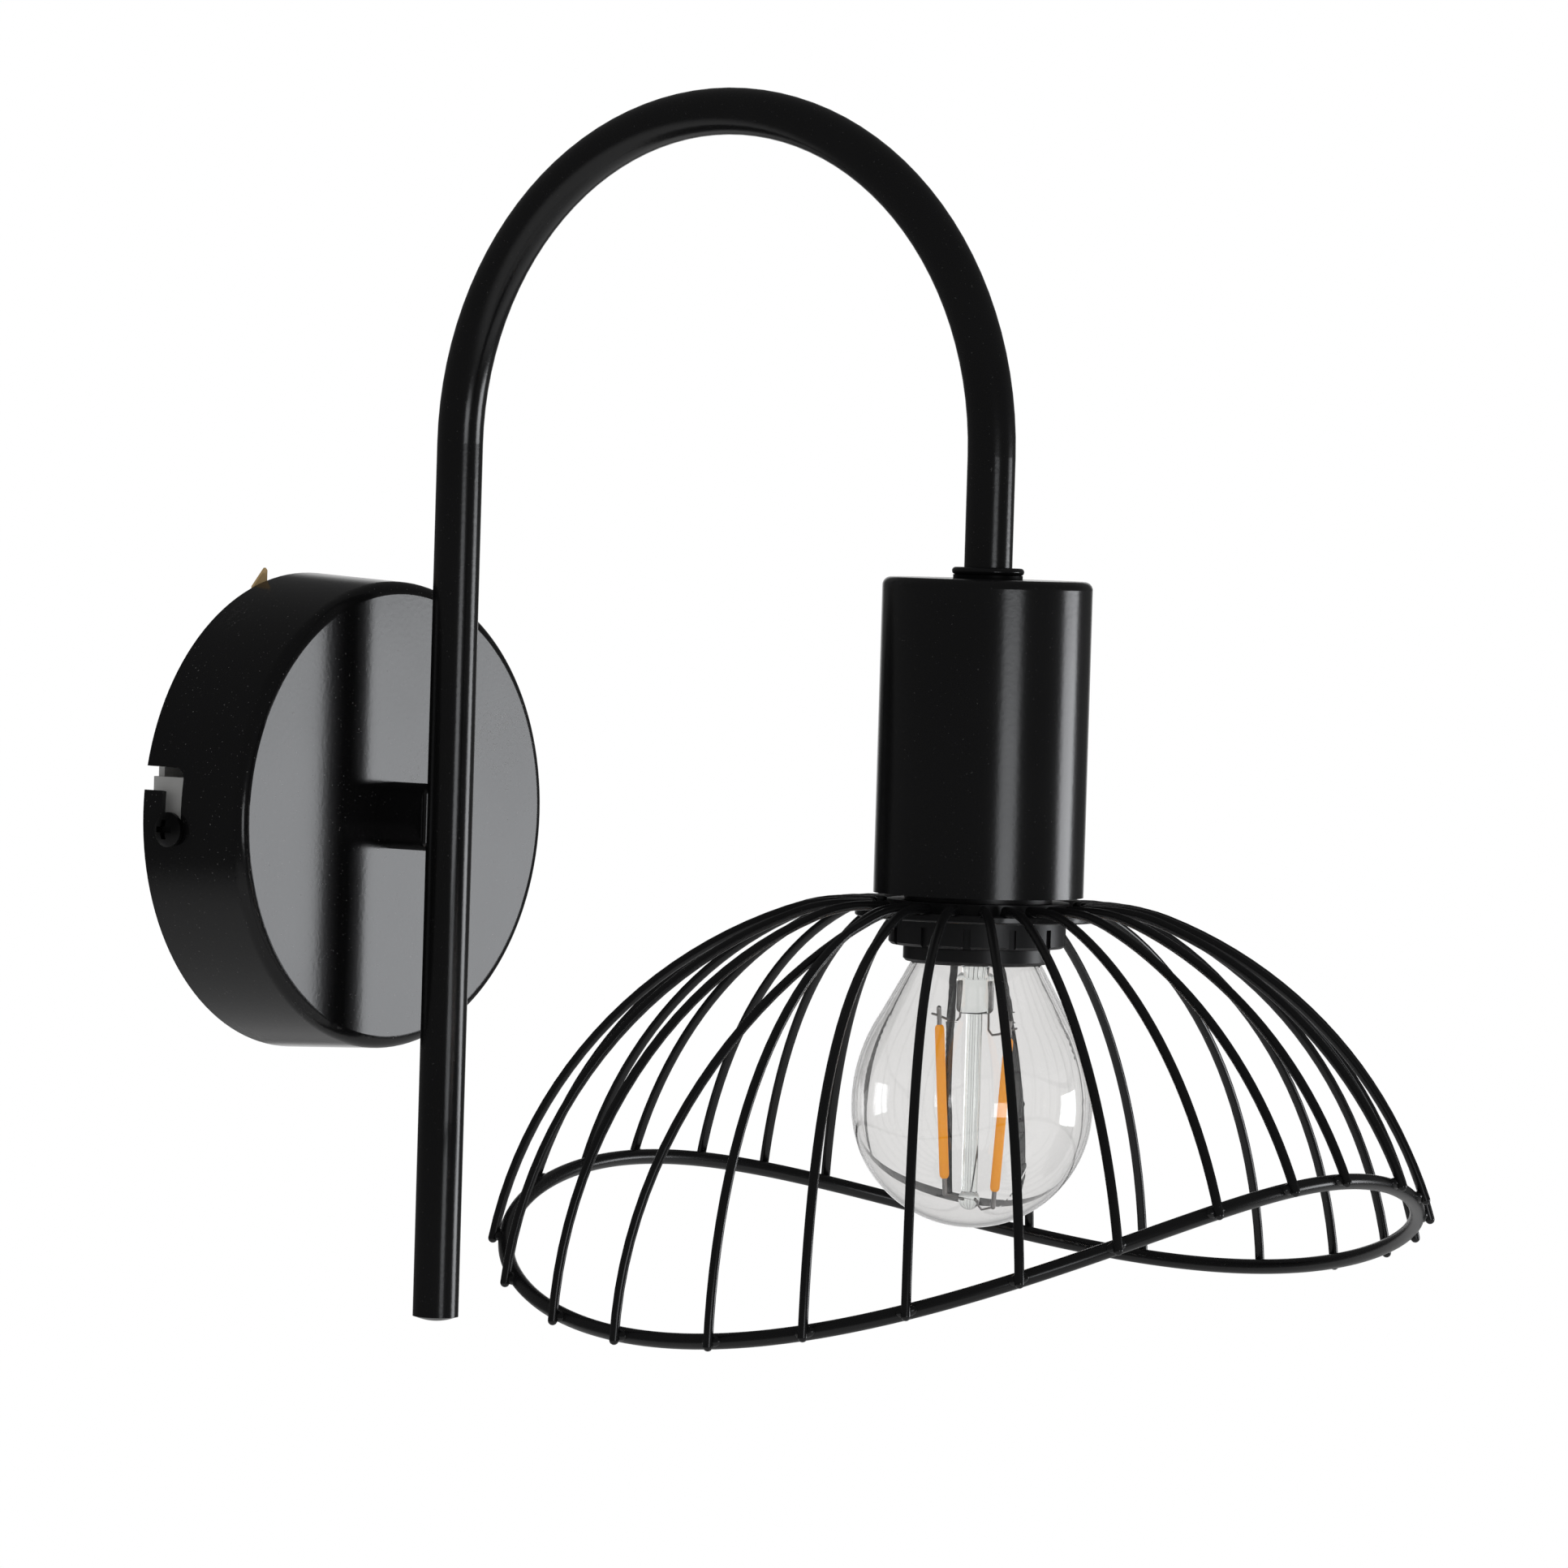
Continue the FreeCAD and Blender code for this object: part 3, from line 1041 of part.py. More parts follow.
def bulb_stem():
    """Glass flare and flat press that the mount is sealed into."""
    flare_bend = (STEM_RADIUS + STEM_FLARE_OUT, STEM_TOP_Z - STEM_FLARE_DOWN)
    flare = turned([(0, STEM_TOP_Z), (STEM_TOP_RADIUS, STEM_TOP_Z),
                    (flare_bend, (STEM_RADIUS, STEM_BOTTOM_Z)), (0, STEM_BOTTOM_Z)])
    press = block((-PRESS_WIDTH / 2, -PRESS_THICK / 2, PRESS_BOTTOM_Z),
                  (PRESS_WIDTH / 2, PRESS_THICK / 2, STEM_BOTTOM_Z + PRESS_EDGE))
    press = press.makeFillet(PRESS_EDGE, press.Edges)
    return turned_about(flare.fuse(press).removeSplitter(), FILAMENT_TURN)


def bulb_rod():
    """Glass rod down the middle of the ball, with a bead at its end."""
    bead = Part.makeSphere(ROD_BEAD_RADIUS, V(0, 0, ROD_BOTTOM_Z))
    return rod(ROD_RADIUS, ROD_BOTTOM_Z, PRESS_BOTTOM_Z).fuse(bead)


def filament_middle(side):
    """Middle of one filament, before the mount is turned."""
    down = side * FILAMENT_STAGGER / 2
    return V(side * FILAMENT_SPREAD, 0, FILAMENT_TOP_Z - FILAMENT_LENGTH / 2 - down)


def filaments():
    """Two coated filament strips hung either side of the rod, splayed and one lower than the other."""
    strips = []
    half = FILAMENT_LENGTH / 2
    corner = (FILAMENT_WIDTH / 2, FILAMENT_THICK / 2, half)
    for side in (-1, 1):
        strip = block([-size for size in corner], corner)
        strip = strip.makeFillet(FILAMENT_THICK * 0.4, edges_where(strip, lambda b: b.ZLength > half))
        strip.rotate(V(0, 0, 0), V(0, 1, 0), side * math.degrees(math.asin(FILAMENT_SPLAY / half)))
        strip.translate(filament_middle(side))
        strips.append(turned_about(strip, FILAMENT_TURN))
    return strips


def filament_supports():
    """Lead wires from the press to the filaments' tops, and supports from the rod to their lower ends."""
    wires = []
    for side in (-1, 1):
        lean = V(side * FILAMENT_SPLAY, 0, FILAMENT_LENGTH / 2)
        top = [V(side * (PRESS_WIDTH / 2 - PRESS_EDGE), 0, PRESS_BOTTOM_Z), filament_middle(side) + lean]
        low = [V(0, 0, ROD_BOTTOM_Z), filament_middle(side) - lean]
        for start, end in (top, low):
            wire = Part.makeCylinder(SUPPORT_RADIUS, (end - start).Length, start, end - start)
            wire = turned_about(wire, FILAMENT_TURN)
            wires.append(wire.cut([bulb_stem(), bulb_rod()] + filaments()))
    return wires


def bulb_driver():
    """Small driver board in the cap."""
    face = DRIVER_THICK / 2
    top = DRIVER_TOP_Z
    side = DRIVER_WIDTH / 2
    board = block((-side, -face, top - DRIVER_LENGTH), (side, face, top))
    low = top - DRIVER_LENGTH + DRIVER_THICK
    middle = low + CHIP_SIZE
    chip = block((-CHIP_SIZE / 2, face, low), (CHIP_SIZE / 2, face + CHIP_THICK, middle))
    out = -face - CAPACITOR_RADIUS
    capacitor = rod(CAPACITOR_RADIUS, low, low + CAPACITOR_LENGTH, 0, out)
    seat = block((-CAPACITOR_RADIUS / 2, out, low), (CAPACITOR_RADIUS / 2, -face, low + CAPACITOR_LENGTH))
    return board.fuse([chip, capacitor, seat]).removeSplitter()


# ---------------------------------------------------------------- wiring
def lead(side):
    """One lead, from the terminal block, through the stud and the arm, to the lampholder."""
    x = side * LEAD_SPACING / 2
    block_x = side * POLE_SPACING / 2
    terminal_x = side * TERMINAL_SPACING / 2
    wall_y = -WALL_LEG_OUT
    turn = LEAD_TURN_RADIUS
    slack = turn * (1 - math.sqrt(0.5))
    low = V(x, wall_y + turn, -LEAD_DROP)
    loop = route([V(block_x, -SLEEVE_OUT, LEAD_START_UP), V(block_x, -SLEEVE_OUT, LEAD_LOOP_UP),
                  V(x, -LEAD_TUCK, LEAD_LOOP_UP), V(x, -LEAD_TUCK, -LEAD_DROP), low])
    high = V(x, wall_y, turn - LEAD_DROP)
    spring = V(x, wall_y, ARCH_SPRING_Z)
    crown = V(x, (wall_y + SHADE_Y) / 2, ARCH_SPRING_Z + ARCH_RADIUS)
    far_spring = V(x, SHADE_Y, ARCH_SPRING_Z)
    arm = [Part.Arc(low, V(x, wall_y + slack, slack - LEAD_DROP), high).toShape(),
           Part.LineSegment(high, spring).toShape(),
           Part.Arc(spring, crown, far_spring).toShape()]
    fan = route([far_spring, V(x, SHADE_Y, NIPPLE_END_Z - 2), V(terminal_x, SHADE_Y, FLOOR_TOP_Z + LEAD_FAN),
                 V(terminal_x, SHADE_Y, FLOOR_TOP_Z + 2 * LEAD_RADIUS)])
    edges = loop + arm + fan
    wire = pipe(edges, LEAD_RADIUS)
    length = sum(edge.Length for edge in edges)
    by_volume = wire.Volume / (math.pi * LEAD_RADIUS ** 2)
    print("   lead length %.1f, volume over section %.1f" % (length, by_volume))
    return wire


# ---------------------------------------------------------------- write every node
save("wall_bracket", from_wall(wall_bracket()))
save("cup_screws", *[from_wall(screw) for screw in cup_screws()])
save("earth_tag", from_wall(earth_tag()))
save("earth_screw", from_wall(earth_screw()))

save("canopy", from_wall(canopy()))
save("terminal_strap", from_wall(terminal_strap()))
save("boss_washer", from_wall(toothed_washer(STUD_RADIUS, WASHER_RADIUS, BOSS_WASHER_FACE, STRAP_FACE)))
save("boss_nut", from_wall(hex_nut(STUD_RADIUS, BOSS_WASHER_FACE - NUT_HEIGHT, BOSS_WASHER_FACE)))
save("terminal_block", from_wall(terminal_block()))
save("terminal_sleeves", *[from_wall(sleeve) for sleeve in terminal_sleeves()])
save("clamp_screws", *[from_wall(screw) for screw in clamp_screws()])
save("block_screw", from_wall(block_screw()))

save("arm_boss", from_wall(arm_boss()))
save("weld_beads", *[from_wall(bead) for bead in weld_beads()])
save("arm_tube", arm_tube())
save("tube_plug", tube_plug())
save("lead_bush", from_wall(lead_bush()))

save("collar", at_shade(collar()))
save("lock_washer", at_shade(ring(LOCK_WASHER_RADIUS, NIPPLE_RADIUS, LOCK_WASHER_Z, COLLAR_Z)))
save("cover", at_shade(cover()))
save("cover_washer", at_shade(toothed_washer(NIPPLE_RADIUS, WASHER_RADIUS, COVER_INSIDE_Z - WASHER_THICK,
                                             COVER_INSIDE_Z)))
save("cover_nut", at_shade(hex_nut(NIPPLE_RADIUS, COVER_INSIDE_Z - WASHER_THICK - NUT_HEIGHT,
                                   COVER_INSIDE_Z - WASHER_THICK)))

save("holder_cap", at_shade(holder_cap()))
save("holder_body", at_shade(holder_body()))
save("centre_contact", at_shade(centre_contact()))
save("side_contact", at_shade(side_contact()))
save("holder_terminals", *[at_shade(body) for body in holder_terminals()])
save("holder_screws", *[at_shade(screw) for screw in holder_screws()])
save("live_lead", lead(-1))
save("neutral_lead", lead(1))

save("shade_disc", at_shade(shade_disc()))
per_side = WIRE_COUNT // 4
for number, name in enumerate(("front", "right", "back", "left")):
    first = number * per_side - per_side // 2
    group = [wire_directions()[k % WIRE_COUNT] for k in range(first, first + per_side)]
    save("shade_wires_" + name, *[at_shade(shade_wire(direction)) for direction in group])
save("shade_rim", *[at_shade(half) for half in shade_rim()])
save("shade_ring", at_shade(shade_ring()))

save("bulb_pip", at_shade(bulb_pip()))
save("bulb_shell", at_shade(bulb_shell()))
save("bulb_insulator", at_shade(bulb_insulator()))
save("bulb_glass", at_shade(bulb_glass()))
save("bulb_stem", at_shade(bulb_stem()))
save("bulb_rod", at_shade(bulb_rod()))
save("bulb_filaments", *[at_shade(strip) for strip in filaments()])
save("filament_supports", *[at_shade(wire) for wire in filament_supports()])
save("bulb_driver", at_shade(bulb_driver()))
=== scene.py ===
"""Looks for the cage wall light: satin black enamel, a welded wire shade, a clear bulb, a plain studio."""
import math

import bmesh
import bpy
from mathutils import Matrix, Vector


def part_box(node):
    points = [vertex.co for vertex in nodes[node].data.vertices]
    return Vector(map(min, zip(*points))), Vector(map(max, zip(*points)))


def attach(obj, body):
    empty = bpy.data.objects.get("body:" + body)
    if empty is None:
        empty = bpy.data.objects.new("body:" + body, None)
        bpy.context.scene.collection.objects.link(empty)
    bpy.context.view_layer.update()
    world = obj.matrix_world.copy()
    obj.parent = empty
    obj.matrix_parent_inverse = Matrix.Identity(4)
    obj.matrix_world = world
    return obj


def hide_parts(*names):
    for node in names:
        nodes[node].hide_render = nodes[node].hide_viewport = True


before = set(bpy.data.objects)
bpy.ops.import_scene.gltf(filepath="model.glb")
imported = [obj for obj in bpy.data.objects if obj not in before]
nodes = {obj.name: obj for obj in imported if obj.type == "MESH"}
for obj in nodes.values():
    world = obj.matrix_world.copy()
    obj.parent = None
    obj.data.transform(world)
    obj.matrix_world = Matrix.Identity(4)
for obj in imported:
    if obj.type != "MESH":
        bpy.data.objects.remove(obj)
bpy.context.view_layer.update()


# ---------------------------------------------------------------- bracket and fixings
# A pressed steel strip on the wall, with its nuts, washers and screws, all zinc plated.
# The two side screws are blackened, so that they go with the cup that they hold.
GRAIN_SCALE = 60.0        # this and every other pattern's scale is a count to the metre
GRAIN_DRAWN = (1.0, 1.0, 14.0)    # finer up and down, so that it lies in level streaks
GRAIN_GLOSS = 0.2
GRAIN_BUMP = 0.08
SPOT_SCALE = 220.0


class Wire:
    """A socket of a node tree that takes part in plain arithmetic."""

    def __init__(self, tree, socket):
        self.tree = tree
        self.socket = socket

    def maths(self, operation, first, second):
        return self.tree.node("ShaderNodeMath", {"operation": operation}, {0: first, 1: second})

    def __add__(self, other):
        return self.maths("ADD", self, other)

    def __sub__(self, other):
        return self.maths("SUBTRACT", self, other)

    def __rsub__(self, other):
        return self.maths("SUBTRACT", other, self)

    def __mul__(self, other):
        return self.maths("MULTIPLY", self, other)

    __radd__ = __add__
    __rmul__ = __mul__

    def largest(self, other):
        return self.maths("MAXIMUM", self, other)

    def above(self, low, high):
        """0 below low, 1 above high, smooth between."""
        return self.tree.node("ShaderNodeMapRange", {"interpolation_type": "SMOOTHSTEP"},
                              {"Value": self, "From Min": low, "From Max": high})

    def about(self, middle, spread):
        """Turn a pattern of 0 to 1 into one that spreads about a middle value."""
        return self * spread + (middle - spread / 2)


class Tree:
    """A node tree under construction."""

    def __init__(self, tree):
        self.tree = tree

    def node(self, kind, settings=(), inputs=(), out=0):
        """One node: its settings first, then its inputs, by name or number, as values or wires."""
        made = self.tree.nodes.new(kind)
        for name, value in dict(settings).items():
            setattr(made, name, value)
        for name, value in dict(inputs).items():
            self.feed(made.inputs[name], value)
        return Wire(self, made.outputs[out])

    def feed(self, socket, value):
        """Link a wire, or each of a list of wires, to a socket, or set its value."""
        if isinstance(value, list):
            for wire in value:
                self.tree.links.new(wire.socket, socket)
        elif isinstance(value, Wire):
            self.tree.links.new(value.socket, socket)
        else:
            socket.default_value = value


class Look(Tree):
    """A material under construction."""

    def __init__(self, name):
        self.material = bpy.data.materials.new(name)
        self.material.use_nodes = True
        super().__init__(self.material.node_tree)
        self.shader = self.tree.nodes["Principled BSDF"]
        self.place = self.node("ShaderNodeTexCoord", out="Object")

    def stretched(self, x, y, z):
        """The object's coordinates, scaled along each axis."""
        return self.node("ShaderNodeVectorMath", {"operation": "MULTIPLY"}, {0: self.place, 1: (x, y, z)})

    def noise(self, scale, detail=2.0, where=None, out=0):
        return self.node("ShaderNodeTexNoise", {},
                         {"Vector": where or self.place, "Scale": scale, "Detail": detail}, out)

    def mix(self, factor, low, high):
        """Colour between two colours."""
        return self.node("ShaderNodeMix", {"data_type": "RGBA"}, {"Factor": factor, 6: low, 7: high}, out=2)

    def bump(self, height, strength, depth=0.0002):
        return self.node("ShaderNodeBump", {}, {"Height": height, "Strength": strength, "Distance": depth})

    def finish(self, **inputs):
        """Set the shader's inputs, by name with underscores for spaces."""
        for name, value in inputs.items():
            self.feed(self.shader.inputs[name.replace("_", " ")], value)
        return self.material


def plated(name, low, high, roughness, metallic=1.0):
    """Rolled metal with a plated, slightly cloudy surface."""
    look = Look(name)
    grain = look.noise(GRAIN_SCALE, detail=4.0, where=look.stretched(*GRAIN_DRAWN))
    spots = look.noise(SPOT_SCALE, detail=3.0)
    look.finish(Metallic=metallic, Base_Color=look.mix(spots, low, high))
    return look.finish(Roughness=grain.about(roughness, GRAIN_GLOSS), Normal=look.bump(grain, GRAIN_BUMP))


def paint(material, *names):
    """Give a CAD node's whole mesh one material."""
    for name in names:
        mesh = nodes[name].data
        mesh.materials.clear()
        mesh.materials.append(material)


paint(plated("zinc_plate", (0.66, 0.66, 0.65, 1), (0.82, 0.82, 0.8, 1), roughness=0.42, metallic=0.5),
      "wall_bracket", "terminal_strap", "boss_washer", "boss_nut", "clamp_screws", "block_screw",
      "cover_washer", "cover_nut", "holder_screws")
paint(plated("blackened_steel", (0.012, 0.012, 0.013, 1), (0.03, 0.03, 0.03, 1), roughness=0.4),
      "cup_screws", "lock_washer")


# ---------------------------------------------------------------- brass
# The wiring tag that shows past the cup's rim is stamped from thin brass, and so are the lampholder's
# contacts; the terminal sleeves are drawn brass tube. All are bare, and a little dull.
paint(plated("brass", (0.66, 0.44, 0.2, 1), (0.85, 0.62, 0.32, 1), roughness=0.45, metallic=0.4),
      "earth_tag", "earth_screw", "terminal_sleeves", "centre_contact", "side_contact", "holder_terminals")


# ---------------------------------------------------------------- wall cup
# Deep-drawn steel, powder coated satin black. Its flat face is the smoothest part of the light: it
# mirrors the arm, and shows a few hair scratches and some dust.
COAT_DEEP = (0.0035, 0.0035, 0.0037, 1)
COAT_PALE = (0.0065, 0.0065, 0.007, 1)
COAT_CLOUD_SCALE = 38.0
COAT_CLOUD_GLOSS = 0.06
PEEL_SCALE = 1100.0
DUST_SCALE = 2400.0
DUST_RANGE = (0.72, 0.8)
DUST_DULLS = 0.3
DUST_COLOUR = (0.4, 0.39, 0.38, 1)
HAIR_SCALE = 62.0
HAIR_WIDTH = 0.012
HAIR_BENDS = 30.0         # across the cup
HAIR_BENT = 0.035
HAIR_PATCH_SCALE = 31.0
HAIR_PATCH_RANGE = (0.6, 0.68)


def hair_scratches(look):
    """Thin bent lines along the edges of cells, in a few patches of the cup only."""
    low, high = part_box("canopy")
    in_cup = look.node("ShaderNodeMapRange", {"data_type": "FLOAT_VECTOR"},
                       {6: look.place, 7: low, 8: high}, out=1)
    drift = look.noise(HAIR_BENDS, where=in_cup, out=1)
    bent = look.node("ShaderNodeMix", {"data_type": "VECTOR"},
                     {"Factor": HAIR_BENT, 4: look.place, 5: drift}, out=1)
    from_edge = look.node("ShaderNodeTexVoronoi", {"feature": "DISTANCE_TO_EDGE"},
                          {"Vector": bent, "Scale": HAIR_SCALE})
    patches = look.noise(HAIR_PATCH_SCALE, detail=0.0).above(*HAIR_PATCH_RANGE)
    return (1 - from_edge.above(0.0, HAIR_WIDTH)) * patches


def enamel(name, roughness, peel, dust, hairs=0.0, shine=0.5):
    """Black powder coat: orange peel, an uneven gloss, dust, and hair scratches if any."""
    look = Look(name)
    cloud = look.noise(COAT_CLOUD_SCALE, detail=3.0)
    marks = look.noise(DUST_SCALE, detail=1.0).above(*DUST_RANGE) * dust
    if hairs:
        marks = marks + hair_scratches(look) * hairs
    look.finish(Base_Color=look.mix(marks, look.mix(cloud, COAT_DEEP, COAT_PALE), DUST_COLOUR))
    look.finish(Specular_IOR_Level=shine, Normal=look.bump(look.noise(PEEL_SCALE), peel))
    return look.finish(Roughness=cloud.about(roughness, COAT_CLOUD_GLOSS) + marks * DUST_DULLS)


paint(enamel("cup_enamel", roughness=0.17, peel=0.06, dust=0.3, hairs=0.6, shine=0.4), "canopy")


# ---------------------------------------------------------------- terminal block, bush and leads
# White nylon mouldings inside the cup, and two single leads with brown and blue covers that run
# from the block through the arm to the lampholder.
MOULD_CLOUD_SCALE = 55.0
MOULD_CLOUD_GLOSS = 0.12
MOULD_GRAIN_SCALE = 420.0
MOULD_GRAIN_BUMP = 0.1


def moulded(name, low, high, roughness):
    """Moulded plastic or thin cover: a slightly cloudy colour and a fine grain."""
    look = Look(name)
    cloud = look.noise(MOULD_CLOUD_SCALE, detail=3.0)
    grain = look.noise(MOULD_GRAIN_SCALE, detail=3.0)
    look.finish(Base_Color=look.mix(cloud, low, high), Roughness=cloud.about(roughness, MOULD_CLOUD_GLOSS))
    return look.finish(Normal=look.bump(grain, MOULD_GRAIN_BUMP))


paint(moulded("white_nylon", (0.72, 0.71, 0.67, 1), (0.82, 0.81, 0.77, 1), roughness=0.5),
      "terminal_block", "lead_bush")
paint(moulded("brown_cover", (0.13, 0.05, 0.025, 1), (0.18, 0.075, 0.035, 1), roughness=0.45), "live_lead")
paint(moulded("blue_cover", (0.02, 0.07, 0.3, 1), (0.03, 0.1, 0.4, 1), roughness=0.45), "neutral_lead")


# ---------------------------------------------------------------- arm, collar, cover and disc
# Bent steel tube with a domed plug, a coped boss welded on, a turned collar and a drawn cover, and the
# pressed disc that carries the shade. All wear the same powder coat, a little rougher than the cup's face.
paint(enamel("satin_enamel", roughness=0.2, peel=0.06, dust=0.1),
      "arm_boss", "weld_beads", "arm_tube", "tube_plug", "collar", "cover", "shade_disc")


# ---------------------------------------------------------------- lampholder and clamp ring
# Black phenolic mouldings: the cap and body under the cover, and the grooved ring that is screwed up
# under the shade's disc.
paint(moulded("black_moulding", (0.006, 0.006, 0.007, 1), (0.012, 0.012, 0.013, 1), roughness=0.38),
      "holder_cap", "holder_body", "shade_ring")


# ---------------------------------------------------------------- wire shade
# Twenty-eight round wires lie flat on the disc, bend down and end just past a thicker wavy rim. Each
# is spot welded to the disc and the rim, and the coat fills the corners round the welds.
SHADE_Y = -0.168          # axis of the shade, out from the wall
WIRE_RADIUS = 0.00089     # a hair under the solid wire's
WIRE_START = 0.0206       # radius where a wire starts on the disc
WIRE_FLAT_END = 0.0252
KNEE_RADIUS = 0.0302
KNEE_TURN = math.radians(20.0)
KNEE_STEPS = 5
SWEEP_RADIUS = 0.0826
SWEEP_STEPS = 22
WIRE_PAST_RIM = 0.0009
RIM_RADIUS = 0.00145
RIM_MEAN_Z = -0.0714
RIM_WAVE = 0.0126         # up and down twice round the shade
RIM_LEAN = 0.0042         # and once
RIM_LEAN_TURN = math.radians(30.0)
RIM_POINTS = 240
RIM_FILLET_LONG = 0.0021
RIM_FILLET_IN = 0.001157  # from the wires' centre lines
DISC_FILLET_LONG = 0.0018
DISC_FILLET_OUT = 0.0006  # past the wire's start
DISC_FILLET_RISE = 0.0003
FILLET_THICK = 0.0011
FILLET_SIDES = 14
BAR_SIDES = 16
BALL_RINGS = 8
SAME_PLACE = 1e-6
NUDGE = 0.01              # radians to either side of a wire, to find which way the rim runs there
# Degrees by which each wire's upper end is welded off its foot, round the shade from straight out.
WIRES_ASKEW = (0, 0, 0, 0, 0, 0, 0, 0, 5, 5, 4, 5, 5, 5,
               0, 0, 0, 0, 0, 0, 14, -6, -8.5, -5, -3, -3.5, -4, -4)
DISC_TOP_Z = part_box("shade_disc")[1][2]
WIRE_Z = DISC_TOP_Z + WIRE_RADIUS
SWEEP_R = WIRE_FLAT_END + (KNEE_RADIUS - SWEEP_RADIUS) * math.sin(KNEE_TURN)
SWEEP_Z = WIRE_Z - KNEE_RADIUS + (KNEE_RADIUS - SWEEP_RADIUS) * math.cos(KNEE_TURN)
TO_RIM = WIRE_RADIUS + RIM_RADIUS


class Form(Tree):
    """A geometry tree under construction, with named sizes and one finish."""

    def __init__(self, name, *sizes):
        super().__init__(bpy.data.node_groups.new(name, "GeometryNodeTree"))
        sockets = self.tree.interface
        sockets.new_socket("Start", in_out="INPUT", socket_type="NodeSocketGeometry")
        for size in sizes:
            sockets.new_socket(size, in_out="INPUT", socket_type="NodeSocketFloat")
        sockets.new_socket("Finish", in_out="INPUT", socket_type="NodeSocketMaterial")
        sockets.new_socket("Result", in_out="OUTPUT", socket_type="NodeSocketGeometry")
        self.given = self.tree.nodes.new("NodeGroupInput")

    def size(self, name):
        return Wire(self, self.given.outputs[name])

    def close(self, geometry):
        """Make the geometry real, smooth and finished, and send it out."""
        real = self.node("GeometryNodeRealizeInstances", {}, {"Geometry": geometry})
        smooth = self.node("GeometryNodeSetShadeSmooth", {}, {"Geometry": real, "Shade Smooth": True})
        done = self.node("GeometryNodeSetMaterial", {}, {"Geometry": smooth, "Material": self.size("Finish")})
        self.feed(self.tree.nodes.new("NodeGroupOutput").inputs["Result"], done)

    def grown(self, name, start, **sizes):
        """The plain mesh that the tree makes from a start mesh."""
        holder = bpy.data.objects.new(name, start)
        bpy.context.scene.collection.objects.link(holder)
        modifier = holder.modifiers.new(name, "NODES")
        modifier.node_group = self.tree
        for item in self.tree.interface.items_tree:
            if item.in_out == "INPUT" and item.name in sizes:
                modifier[item.identifier] = sizes[item.name]
        seen = holder.evaluated_get(bpy.context.evaluated_depsgraph_get())
        mesh = bpy.data.meshes.new_from_object(seen)
        holder.modifiers.clear()
        bpy.data.objects.remove(holder)
        mesh.name = name
        return mesh


def round_bar():
    """Round bar along every line of the start mesh, with a ball on each end of an open one."""
    form = Form("round_bar", "Radius")
    line = form.node("GeometryNodeMeshToCurve", {}, {"Mesh": form.size("Start")})
    section = form.node("GeometryNodeCurvePrimitiveCircle", {},
                        {"Resolution": BAR_SIDES, "Radius": form.size("Radius")})
    bar = form.node("GeometryNodeCurveToMesh", {},
                    {"Curve": line, "Profile Curve": section, "Fill Caps": True})
    ball = form.node("GeometryNodeMeshUVSphere", {},
                     {"Segments": BAR_SIDES, "Rings": BALL_RINGS, "Radius": form.size("Radius")})
    tips = form.node("GeometryNodeCurveEndpointSelection", {}, {"Start Size": 1, "End Size": 1})
    free_tips = tips - form.node("GeometryNodeInputSplineCyclic")
    balls = form.node("GeometryNodeInstanceOnPoints", {},
                      {"Points": line, "Selection": free_tips, "Instance": ball})
    form.close(form.node("GeometryNodeJoinGeometry", {}, {0: [bar, balls]}))
    return form


def weld_fillet():
    """A small blob at every point of the start mesh, long along the point's own direction."""
    form = Form("weld_fillet", "Long", "Thick")
    along = form.node("GeometryNodeInputNamedAttribute", {"data_type": "FLOAT_VECTOR"}, {"Name": "along"})
    turn = form.node("FunctionNodeAlignRotationToVector", {"axis": "Z"}, {"Vector": along})
    thick = form.size("Thick")
    scale = form.node("ShaderNodeCombineXYZ", {}, {0: thick, 1: thick, 2: form.size("Long")})
    blob = form.node("GeometryNodeMeshUVSphere", {},
                     {"Segments": FILLET_SIDES, "Rings": BALL_RINGS, "Radius": 1.0})
    form.close(form.node("GeometryNodeInstanceOnPoints", {},
                         {"Points": form.size("Start"), "Instance": blob, "Rotation": turn, "Scale": scale}))
    return form


def lines_mesh(name, lines, closed):
    """Start mesh of loose lines through points."""
    points = []
    edges = []
    for line in lines:
        first = len(points)
        last = first + len(line) - 1
        edges += [(k, k + 1) for k in range(first, last)]
        if closed:
            edges.append((last, first))
        points += line
    mesh = bpy.data.meshes.new(name)
    mesh.from_pydata(points, edges, [])
    return mesh


def points_mesh(name, points, directions):
    """Start mesh of loose points, each with a direction."""
    mesh = bpy.data.meshes.new(name)
    mesh.from_pydata(points, [], [])
    stored = mesh.attributes.new("along", "FLOAT_VECTOR", "POINT")
    for item, direction in zip(stored.data, directions):
        item.vector = direction
    return mesh


def piece(name, mesh, body, slot, *stands_for):
    """A new object in the frame, riding on a body, in place of the CAD nodes that it stands for."""
    made = bpy.data.objects.new(name, mesh)
    bpy.context.scene.collection.objects.link(made)
    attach(made, body)
    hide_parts(*stands_for)


bar_form = round_bar()
fillet_form = weld_fillet()
wire_black = enamel("wire_enamel", roughness=0.26, peel=0.02, dust=0.03)


def bars(name, lines, radius, finish, body, slot, *stands_for, closed=False):
    """Round bars along lines, as one piece."""
    mesh = bar_form.grown(name, lines_mesh(name, lines, closed), Radius=radius, Finish=finish)
    piece(name, mesh, body, slot, *stands_for)


def fillets(name, points, directions, long):
    """The coat that fills the corners round the shade's welds, as one piece."""
    start = points_mesh(name, points, directions)
    piece(name, fillet_form.grown(name, start, Long=long, Thick=FILLET_THICK, Finish=wire_black),
          "shade", "black_paint")


def rim_height(direction):
    """Height of the rim in a direction, in radians from straight out."""
    return RIM_MEAN_Z + RIM_WAVE * math.cos(2 * direction) + RIM_LEAN * math.cos(direction - RIM_LEAN_TURN)


